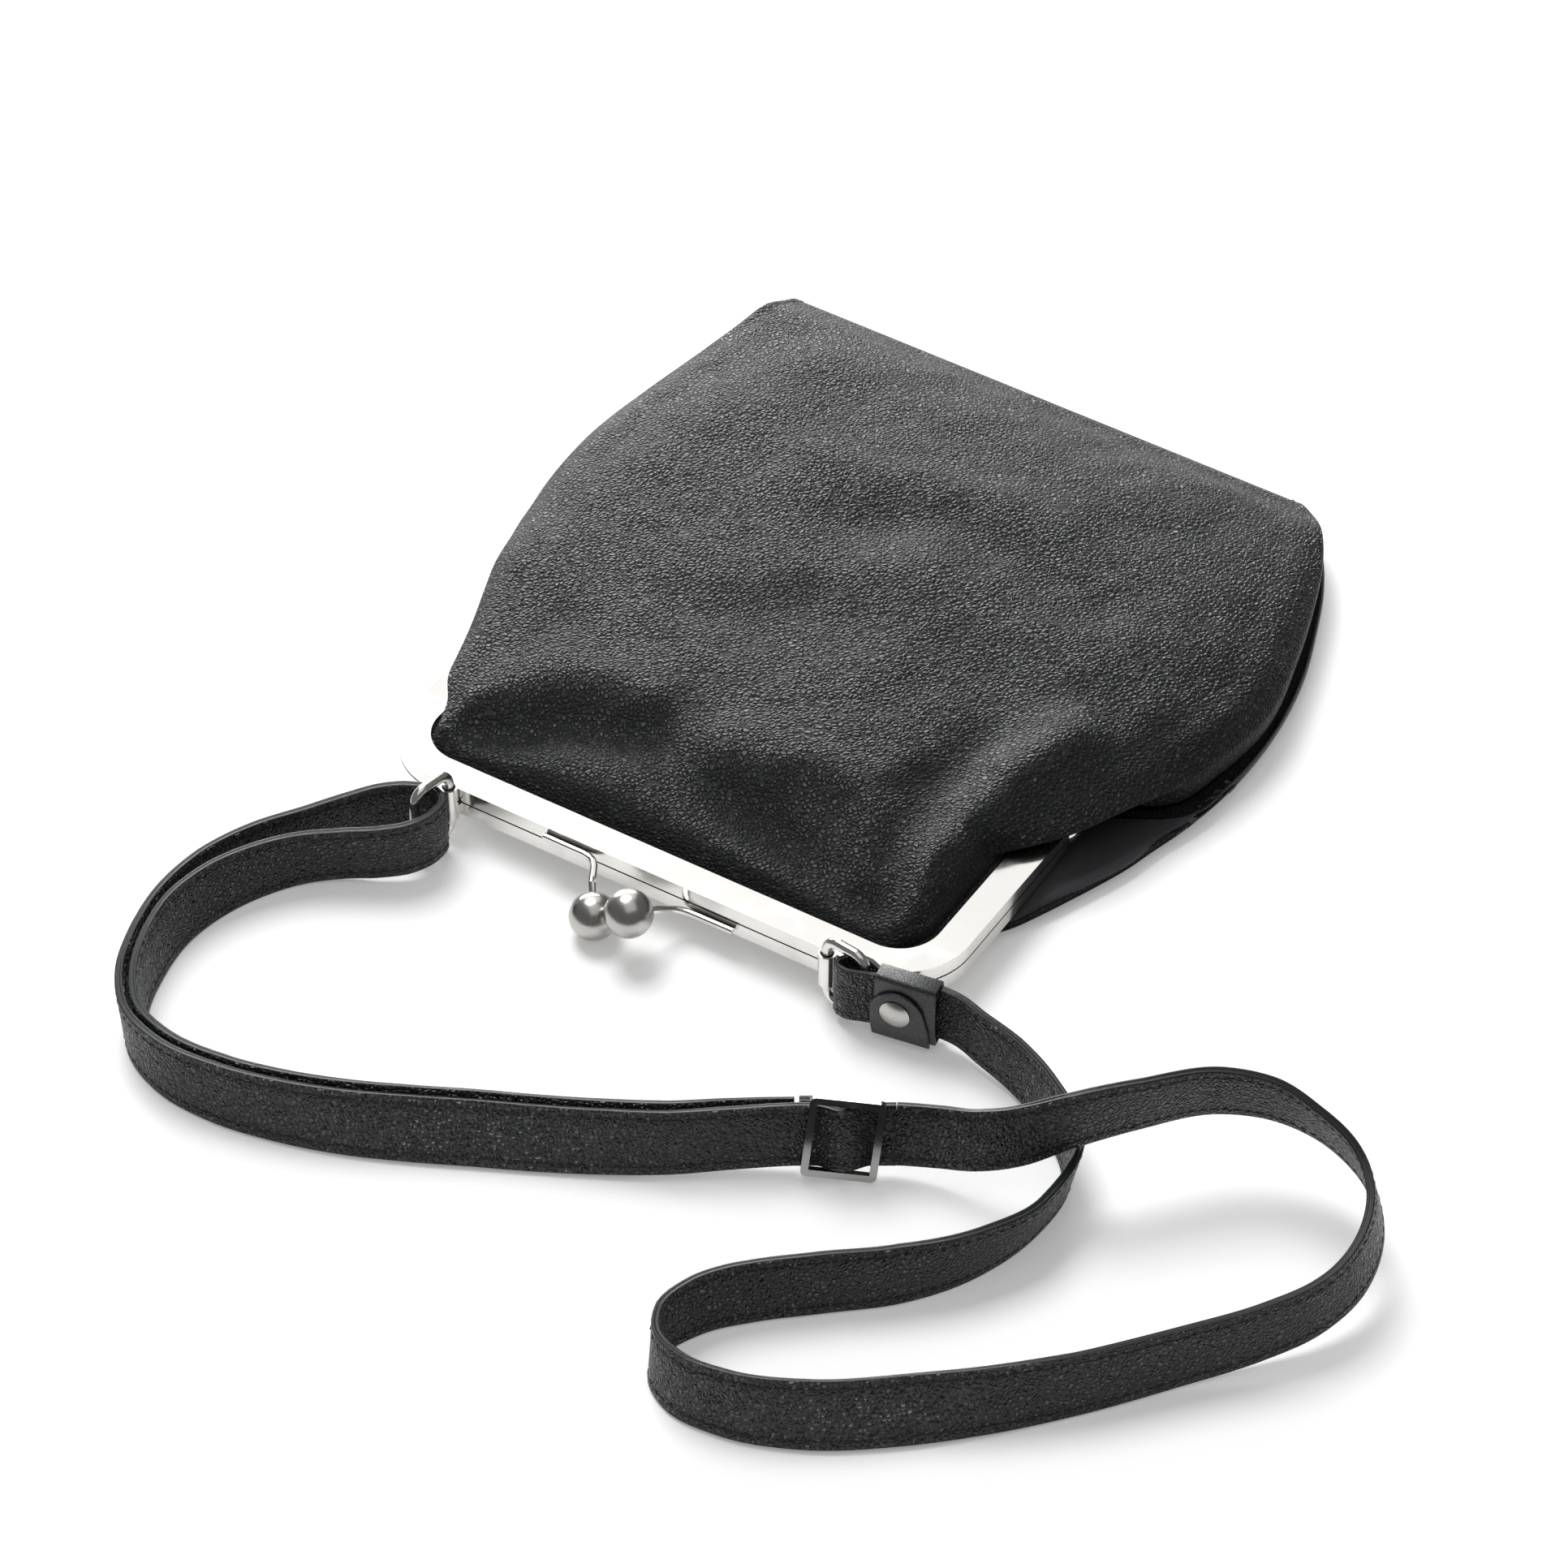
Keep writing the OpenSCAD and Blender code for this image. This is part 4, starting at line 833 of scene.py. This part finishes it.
def fresh_material(name, **numbers):
    """A new material, its tree and its shader, with the numbers set on the shader."""
    material = bpy.data.materials.new(name)
    material.use_nodes = True
    surface = material.node_tree.nodes["Principled BSDF"].inputs
    for key, value in numbers.items():
        surface[key.replace("_", " ")].default_value = value
    return material, material.node_tree, surface


def place_group(tree, group, coordinates, feeds=None):
    source = add_node(tree, "ShaderNodeTexCoord", (-920, 0)).outputs[coordinates]
    node = add_node(tree, "ShaderNodeGroup", (-700, 0), node_tree=group)
    tree.links.new(source, node.inputs["Vector"])
    for key, value in (feeds or {}).items():
        node.inputs[key].default_value = value
    return node.outputs


@functools.cache
def leather(kind):
    """Bag, strap or keeper leather: one grain group with its own values."""
    settings = bpy.context.scene.purse_leather
    bag = kind == "bag"
    colour, pebbles, creases, depth, stretch, strength, distance, rough = {
        "bag": (settings.bag_colour, settings.bag_pebbles, 60.0, 0.15, (1, 0.8, 1), 0.9,
                0.00045, 0.33),
        "strap": (settings.strap_colour, 700.0, 200.0, 2.0, (1, 0.22, 1), 1.0, 0.0022, 0.30),
        "keeper": (settings.strap_colour, 1100.0, 120.0, 0.5, (1, 1, 1), 0.5, 0.0001, 0.36)}[kind]
    material, tree, surface = fresh_material(
        kind + "_leather", Specular_IOR_Level=0.15 if bag else 0.9, Sheen_Weight=0.02,
        Sheen_Roughness=0.4)
    grain = place_group(tree, grain_group(), "UV",
                        {"Pebbles": pebbles, "Creases": creases, "Crease depth": depth,
                         "Stretch": stretch})
    # The bag's tone drifts slowly; the strap's and keeper's colour follows the grain's height:
    # painted shade in creases and grooves, painted highlight on pebble tops
    tone = two_tone(tree, grain["Tone"] if bag else grain["Height"],
                    shares_of(colour, 0.7, 1.3) if bag else shares_of(colour, 0.2, 1.8),
                    (-350, 240))
    tree.links.new(tone, surface["Base Color"])
    tree.links.new(ranged(tree, grain["Height"], rough + 0.2, rough, (-350, 40)),
                   surface["Roughness"])
    tree.links.new(bump(tree, grain["Height"], strength, distance, (-200, -220)),
                   surface["Normal"])
    return material


@functools.cache
def edge_paint():
    material, tree, surface = fresh_material("edge_paint", Roughness=0.36,
                                             Specular_IOR_Level=0.22)
    grain = place_group(tree, grain_group(), "UV", {"Pebbles": 420.0, "Creases": 500.0})
    colour = bpy.context.scene.purse_leather.edge_colour
    tree.links.new(two_tone(tree, grain["Tone"], shares_of(colour, 0.7, 1.4), (-350, 200)),
                   surface["Base Color"])
    tree.links.new(bump(tree, grain["Height"], 0.3, 0.00008, (-200, -200)), surface["Normal"])
    return material


def twisted(tree, scale, distortion, detail):
    """Slanting bands of a twisted thread or cord."""
    source = add_node(tree, "ShaderNodeTexCoord", (-900, 0)).outputs["Object"]
    return add_node(tree, "ShaderNodeTexWave", (-650, 0),
                    {"Vector": source, "Scale": scale, "Distortion": distortion,
                     "Detail": detail}, bands_direction="DIAGONAL").outputs["Fac"]


@functools.cache
def thread():
    material, tree, surface = fresh_material("thread", Roughness=0.6, Sheen_Weight=0.2)
    twist = twisted(tree, 900.0, 1.0, 2.0)
    tones = (0.006, 0.007, 0.008), (0.016, 0.018, 0.02)
    tree.links.new(two_tone(tree, twist, tones, (-350, 200)), surface["Base Color"])
    tree.links.new(bump(tree, twist, 0.4, 0.0001, (-300, -200)), surface["Normal"])
    return material


@functools.cache
def paper():
    material, tree, surface = fresh_material("paper", Roughness=0.85)
    tones = (0.36, 0.27, 0.17), (0.55, 0.44, 0.3)
    tree.links.new(two_tone(tree, twisted(tree, 300.0, 3.0, 2.0), tones, (-350, 200)),
                   surface["Base Color"])
    return material


@functools.cache
def lining_cloth():
    material, tree, surface = fresh_material("lining_cloth", Roughness=0.7, Sheen_Weight=0.3)
    source = add_node(tree, "ShaderNodeTexCoord", (-1000, 0)).outputs["UV"]
    weave = add_node(tree, "ShaderNodeTexBrick", (-700, 0),
                     {"Vector": source, "Scale": 900.0, "Mortar Size": 0.03,
                      "Brick Width": 0.6, "Row Height": 0.3, "Color1": (0.05, 0.05, 0.056, 1),
                      "Color2": (0.036, 0.036, 0.042, 1), "Mortar": (0.015, 0.015, 0.018, 1)},
                     offset=0.5).outputs
    tree.links.new(weave["Color"], surface["Base Color"])
    tree.links.new(bump(tree, weave["Fac"], 0.3, 0.0001, (-300, -200)), surface["Normal"])
    return material


@functools.cache
def plating(kind):
    """Polished, satin or dark nickel from one wear group."""
    settings = bpy.context.scene.purse_metal
    colour, smooth, smudged, depth = {
        "polished": (settings.nickel_colour, 0.13, 0.24, 0.05),
        "satin": (settings.satin_colour, 0.27, 0.34, 0.15),
        "dark": (settings.dark_colour, 0.12, 0.24, 0.06)}[kind]
    material, tree, surface = fresh_material(kind + "_nickel", Metallic=1.0)
    wear = place_group(tree, wear_group(), "Object")
    tree.links.new(two_tone(tree, wear["Smudge"], shares_of(colour, 1.0, 0.9), (-350, 220)),
                   surface["Base Color"])
    tree.links.new(ranged(tree, wear["Smudge"], smooth, smudged, (-350, 20)),
                   surface["Roughness"])
    tree.links.new(bump(tree, wear["Height"], depth, 0.00003, (-250, -220)), surface["Normal"])
    return material


# ---- Settings ----

class PurseLeatherSettings(bpy.types.PropertyGroup):
    bag_colour: bpy.props.FloatVectorProperty(
        name="Bag colour", description="Middle tone of the bag's leather",
        subtype="COLOR", size=3, min=0, max=1, default=(0.0112, 0.0118, 0.0122))
    strap_colour: bpy.props.FloatVectorProperty(
        name="Strap colour", description="Middle tone of the strap's leather",
        subtype="COLOR", size=3, min=0, max=1, default=(0.0085, 0.0105, 0.0115))
    edge_colour: bpy.props.FloatVectorProperty(
        name="Edge colour", description="Paint on the strap's cut edges",
        subtype="COLOR", size=3, min=0, max=1, default=(0.016, 0.0175, 0.0185))
    bag_pebbles: bpy.props.FloatProperty(
        name="Pebbles", description="Pebbles of grain in a metre of the bag's leather",
        min=200, max=2000, default=640)
    fold_share: bpy.props.FloatProperty(
        name="Fold depth", description="Depth of the bag's soft folds, as a share of the usual one",
        min=0, max=2, default=1.0)


class PurseMetalSettings(bpy.types.PropertyGroup):
    nickel_colour: bpy.props.FloatVectorProperty(
        name="Nickel", description="Polished plating of the frame and rings",
        subtype="COLOR", size=3, min=0, max=1, default=(0.79, 0.775, 0.745))
    satin_colour: bpy.props.FloatVectorProperty(
        name="Satin nickel", description="Plating of the balls and the snap's cap",
        subtype="COLOR", size=3, min=0, max=1, default=(0.50, 0.49, 0.465))
    dark_colour: bpy.props.FloatVectorProperty(
        name="Dark nickel", description="Plating of the slider",
        subtype="COLOR", size=3, min=0, max=1, default=(0.28, 0.28, 0.275))


class PurseStageSettings(bpy.types.PropertyGroup):
    lens: bpy.props.FloatProperty(
        name="Lens", description="Focal length of the camera", unit="CAMERA",
        min=20, max=250, default=122.98)
    main_power: bpy.props.FloatProperty(
        name="Main light", description="Power of the soft lamp high to the left",
        unit="POWER", min=0, max=200, default=36.0)
    panel_power: bpy.props.FloatProperty(
        name="Panel light", description="Power of the wide lamp that the flat plates reflect",
        unit="POWER", min=0, max=200, default=10.5)
    rim_power: bpy.props.FloatProperty(
        name="Rim light", description="Power of the low lamp behind and to the left",
        unit="POWER", min=0, max=200, default=76.0)
    fill_power: bpy.props.FloatProperty(
        name="Fill light", description="Power of the wide lamp overhead",
        unit="POWER", min=0, max=200, default=9.0)
    sky: bpy.props.FloatProperty(
        name="Sky", description="Level of the even light from all round",
        min=0, max=2, default=0.16)
    floor_glow: bpy.props.FloatProperty(
        name="Floor glow", description="Share of white that the table adds to its own light",
        min=0, max=1, default=0.24)


SETTINGS = (("purse_leather", PurseLeatherSettings), ("purse_metal", PurseMetalSettings),
            ("purse_stage", PurseStageSettings))

# ---- Stage ----

CAMERA_AT = (0.6480, -1.0872, 1.1301)
LOOK_AT = (0.01355, -0.07065, 0.01145)
WHITE = (1, 1, 1, 1)
TABLE_WHITE = (0.94, 0.94, 0.94, 1)
# Each lamp's place and size in metres; all of them face the middle of the bag
LAMPS = {"main": ((-0.94, 0.51, 2.05), (1.1, 1.1)), "panel": ((-0.92, 1.2, 1.60), (2.0, 1.7)),
         "rim": ((-1.77, 1.87, 0.42), (2.0, 0.6)), "fill": ((0.5, -0.4, 2.3), (2.2, 2.2))}


def add_lamp(name, place, size, power):
    data = bpy.data.lights.new(name, "AREA")
    data.shape = "RECTANGLE"
    data.size, data.size_y = size
    data.energy = power
    lamp = bpy.data.objects.new(name, data)
    lamp.location = place
    lamp.rotation_euler = (-Vector(place)).to_track_quat("-Z", "Y").to_euler()
    bpy.context.scene.collection.objects.link(lamp)


def ray_level(tree, ray, low, high):
    """High for the camera's rays and one more kind of ray, and low for the rest."""
    path = add_node(tree, "ShaderNodeLightPath", (-800, 200)).outputs
    seen = add_node(tree, "ShaderNodeMath", (-600, 200), {0: path["Is Camera Ray"], 1: path[ray]},
                    operation="MAXIMUM")
    return ranged(tree, seen.outputs[0], low, high, (-400, 200))


def table_material(level):
    """White table that shows white to the camera and in metal, and keeps shadows."""
    material = bpy.data.materials.new("white_table")
    material.use_nodes = True
    tree = material.node_tree
    tree.nodes.clear()
    matt = add_node(tree, "ShaderNodeBsdfDiffuse", (-300, 0), {"Color": TABLE_WHITE})
    glow = add_node(tree, "ShaderNodeEmission", (-200, -200),
                    {"Color": WHITE, "Strength": ray_level(tree, "Is Glossy Ray", 0.0, level)})
    both = add_node(tree, "ShaderNodeAddShader", (-50, 0), {0: matt.outputs[0],
                                                            1: glow.outputs[0]})
    add_node(tree, "ShaderNodeOutputMaterial", (200, 0), {"Surface": both.outputs[0]})
    return material


class PURSE_OT_stage(bpy.types.Operator):
    """Adds the white table, the even light, the lamps and the camera"""
    bl_idname = "purse.stage"
    bl_label = "Stage"

    def execute(self, context):
        settings = context.scene.purse_stage
        context.scene.view_settings.view_transform = "Standard"
        self.add_sky(context.scene, settings.sky)
        bm = bmesh.new()
        bmesh.ops.create_grid(bm, x_segments=1, y_segments=1, size=8)
        new_piece("table", bm, [table_material(settings.floor_glow)])
        for name, (place, size) in LAMPS.items():
            add_lamp(name + "_lamp", place, size, getattr(settings, name + "_power"))
        self.add_camera(context.scene, settings.lens)
        return {"FINISHED"}

    def add_sky(self, scene, level):
        """Even light, which the camera sees as white"""
        world = bpy.data.worlds.new("studio")
        scene.world = world
        world.use_nodes = True
        tree = world.node_tree
        tree.nodes.clear()
        back = add_node(tree, "ShaderNodeBackground", (0, 0),
                        {"Color": WHITE,
                         "Strength": ray_level(tree, "Is Transmission Ray", level, 1.0)})
        add_node(tree, "ShaderNodeOutputWorld", (200, 0), {"Surface": back.outputs[0]})

    def add_camera(self, scene, lens):
        data = bpy.data.cameras.new("camera")
        data.sensor_fit = "HORIZONTAL"
        data.sensor_width = 36
        data.lens = lens
        data.clip_end = 50
        camera = bpy.data.objects.new("camera", data)
        ahead = (Vector(LOOK_AT) - Vector(CAMERA_AT)).normalized()
        right = ahead.cross(Vector((0, 0, 1))).normalized()
        turn = Matrix((right, right.cross(ahead), -ahead)).transposed().to_4x4()
        turn.translation = CAMERA_AT
        camera.matrix_world = turn
        scene.collection.objects.link(camera)
        scene.camera = camera


# ---- Soft pieces ----

class PURSE_OT_bag(bpy.types.Operator):
    """Makes the front and back leather with their folds and the lining inside"""
    bl_idname = "purse.bag"
    bl_label = "Bag"

    def execute(self, context):
        share = context.scene.purse_leather.fold_share
        for side in ("front", "back"):
            front = side == "front"
            skin = bag_skin(front, share)
            outer = self.shell(side + "_leather", skin, front, LEATHER_T, leather("bag"))
            inner = self.shell(side + "_lining_cloth", self.inside(skin), front, LINING_T,
                               lining_cloth())
            bodies, turn = (("front_half", "back_half"), BAG_BEND) if front else (
                ("back_half",), None)
            fit_piece(outer, side + "_panel", bodies, turn)
            fit_piece(inner, side + "_lining", bodies, turn)
        return {"FINISHED"}

    def shell(self, name, skin, front, thick, material):
        """A skin with its thickness on the inner side"""
        bm = laid_grid(skin, grid_uvs(skin))
        if not front:
            bmesh.ops.reverse_faces(bm, faces=bm.faces)
        piece = new_piece(name, bm, [material])
        wall = piece.modifiers.new("thickness", "SOLIDIFY")
        wall.thickness = thick * MM
        wall.offset = -1
        return piece

    def inside(self, skin):
        """The lining's outer skin, just under the leather"""
        normals = grid_normals(skin)
        depth = LEATHER_T + LINING_GAP
        rows = range(LINING_ROWS[0], len(skin) - LINING_ROWS[1])
        cols = range(LINING_COLUMNS, len(skin[0]) - LINING_COLUMNS)
        return [[skin[i][j] - normals[i][j] * depth for j in cols] for i in rows]


class PURSE_OT_strap(bpy.types.Operator):
    """Makes the strap's stretches with their edges and stitches"""
    bl_idname = "purse.strap"
    bl_label = "Strap"

    def execute(self, context):
        for name, node, route, first, last, body, turn in STRETCHES:
            piece = strap_piece(name, route, first, last, stitched=node != "strap_right_loop")
            bodies = ("back_half", body) if turn else (body,)
            fit_piece(piece, node, bodies, turn)
        bend = flat_strip("strap_through_slider", bend_line(), STRAP_T, range(-12, 13, 3))
        fit_piece(bend, "strap_slider_bend", ("slider",))
        fold = flat_strip("strap_end_at_slider", end_fold_line(), SKIVED_T, ())
        fit_piece(fold, "strap_end_fold", ("slider",))
        return {"FINISHED"}


class PURSE_OT_keeper(bpy.types.Operator):
    """Makes the keeper's wrap and its flap"""
    bl_idname = "purse.keeper"
    bl_label = "Keeper"

    def execute(self, context):
        place = (Matrix.Translation((KEEPER_AT[0], KEEPER_AT[1] - REST_Y, KEEPER_AT[2]))
                 @ Matrix.Rotation(KEEPER_TURN, 4, "Z"))
        fit_piece(self.wrap(place), "keeper_wrap", ("right_link",))
        fit_piece(self.flap(place), "keeper_flap", ("flap",))
        return {"FINISHED"}

    def wrap(self, place):
        """Band round the strap: a rounded leather section swept round its corners"""
        y0, y1 = KEEPER_FRONT, KEEPER_BACK
        z0, z1 = -KEEPER_GAP, STRAP_W + KEEPER_GAP
        corners = ((y1, z0, -90), (y1, z1, 0), (y0, z1, 90), (y0, z0, 180))
        # Section by distance along the strap, share of the thickness and cut edge
        section = [(0.3, 1, 0), (KEEPER_L / 2, 1, 0), (KEEPER_L - 0.3, 1, 0),
                   (KEEPER_L - 0.06, 0.85, 1), (KEEPER_L, 0.5, 1), (KEEPER_L - 0.1, 0, 1),
                   (KEEPER_L / 2, 0, 0), (0.1, 0, 1), (0, 0.5, 1), (0.06, 0.85, 1)]
        rings = []
        for y, z, start in corners:
            cy = y + math.copysign(KEEPER_BEND, (y0 + y1) / 2 - y)
            cz = z + math.copysign(KEEPER_BEND, (z0 + z1) / 2 - z)
            for k in range(6):
                a = math.radians(start + 18 * k)
                out = Vector((0, math.cos(a), math.sin(a)))
                base = Vector((0, cy, cz)) + out * KEEPER_BEND
                rings.append([place @ (base + out * (level * KEEPER_T) + Vector((x, 0, 0)))
                              for x, level, _rim in section])
        rings.append(rings[0])
        lengths, run = [], 0.3
        for a, b in zip([rings[0]] + rings, rings):
            run += (b[1] - a[1]).length * MM
            lengths.append(run)
        bm = swept(rings, lengths, [rim for _x, _level, rim in section], capped=False)
        return new_piece("keeper_band", bm, [leather("keeper"), edge_paint()])

    def flap(self, place):
        """Rounded tongue over the keeper's face"""
        back = KEEPER_FRONT - KEEPER_T - 0.12
        face_y = back - KEEPER_T
        centre_x, centre_z, radius = 7.7, 8.6, 8.6
        outline = [(-0.1, -1.2), (9, -1.2), (18.0, -1.2), (17.8, 1.4), (17.5, 4.8)]
        for k in range(23):
            a = math.radians(22 + (180 - 22) * k / 22)
            outline.append((centre_x + radius * math.cos(a), centre_z + radius * math.sin(a)))
        outline += [(-0.9, 5), (-0.6, 1.6)]
        bm = bmesh.new()
        face = bm.faces.new([bm.verts.new((x, back, z)) for x, z in outline])
        made = bmesh.ops.extrude_face_region(bm, geom=[face])
        moved = [g for g in made["geom"] if isinstance(g, bmesh.types.BMVert)]
        bmesh.ops.translate(bm, verts=moved, vec=(0, -KEEPER_T, 0))
        bmesh.ops.recalc_face_normals(bm, faces=bm.faces)
        front_rim = [e for e in bm.edges if all(v.co.y < face_y + 0.01 for v in e.verts)]
        bmesh.ops.bevel(bm, geom=front_rim, offset=0.35, segments=3, profile=0.5,
                        affect="EDGES", material=-1)
        box_uvs(bm)
        bmesh.ops.transform(bm, matrix=Matrix.Scale(MM, 4) @ place, verts=bm.verts)
        return new_piece("keeper_tongue", bm, [leather("keeper")])


# ---- Metal and hidden parts ----

FINISHES = {
    "polished": ("back_frame", "front_frame", "left_rivet", "right_rivet", "back_shank",
                 "front_shank", "left_lug", "right_lug", "left_ring", "right_ring",
                 "snap_socket", "snap_stud"),
    "satin": ("back_ball", "front_ball", "snap_cap"),
    "dark": ("slider_buckle", "snap_post")}
# Width in metres and steps of each rounded edge
SOFTENED = {"back_frame": (0.0005, 3), "front_frame": (0.0005, 3),
            "slider_buckle": (0.0003, 2), "left_lug": (0.0002, 2), "right_lug": (0.0002, 2)}


class PURSE_OT_metal(bpy.types.Operator):
    """Gives the metal pieces their plating and softened edges"""
    bl_idname = "purse.metal"
    bl_label = "Metal"

    def execute(self, context):
        for kind, names in FINISHES.items():
            for name in names:
                self.dress(NODES[name], plating(kind))
        for name, (width, segments) in SOFTENED.items():
            self.soften(NODES[name], width, segments)
        for name in ("back_paper_cord", "front_paper_cord"):
            self.dress(NODES[name], paper())
        return {"FINISHED"}

    def dress(self, node, material):
        node.data.materials.clear()
        node.data.materials.append(material)

    def soften(self, node, width, segments):
        bevel = node.modifiers.new("softened edges", "BEVEL")
        bevel.width = width
        bevel.segments = segments
        bevel.limit_method = "ANGLE"
        bevel.angle_limit = math.radians(35)
        bevel.harden_normals = True


# ---- Panel and start ----

STEPS = (PURSE_OT_stage, PURSE_OT_bag, PURSE_OT_strap, PURSE_OT_keeper, PURSE_OT_metal)


class PURSE_PT_panel(bpy.types.Panel):
    bl_label = "Kiss lock purse"
    bl_idname = "PURSE_PT_panel"
    bl_space_type = "VIEW_3D"
    bl_region_type = "UI"
    bl_category = "Purse"

    def draw(self, context):
        for group_name, _group in SETTINGS:
            group = getattr(context.scene, group_name)
            for name in group.bl_rna.properties.keys():
                if name not in ("rna_type", "name"):
                    self.layout.prop(group, name)
        for step in STEPS:
            self.layout.operator(step.bl_idname)


def register():
    for name, group in SETTINGS:
        bpy.utils.register_class(group)
        setattr(bpy.types.Scene, name, bpy.props.PointerProperty(type=group))
    for step in STEPS:
        bpy.utils.register_class(step)
    bpy.utils.register_class(PURSE_PT_panel)


def unregister():
    bpy.utils.unregister_class(PURSE_PT_panel)
    for step in reversed(STEPS):
        bpy.utils.unregister_class(step)
    for name, group in reversed(SETTINGS):
        delattr(bpy.types.Scene, name)
        bpy.utils.unregister_class(group)


def main():
    register()
    bpy.ops.purse.stage()
    bpy.ops.purse.bag()
    bpy.ops.purse.strap()
    bpy.ops.purse.keeper()
    bpy.ops.purse.metal()


if __name__ == "__main__":
    main()
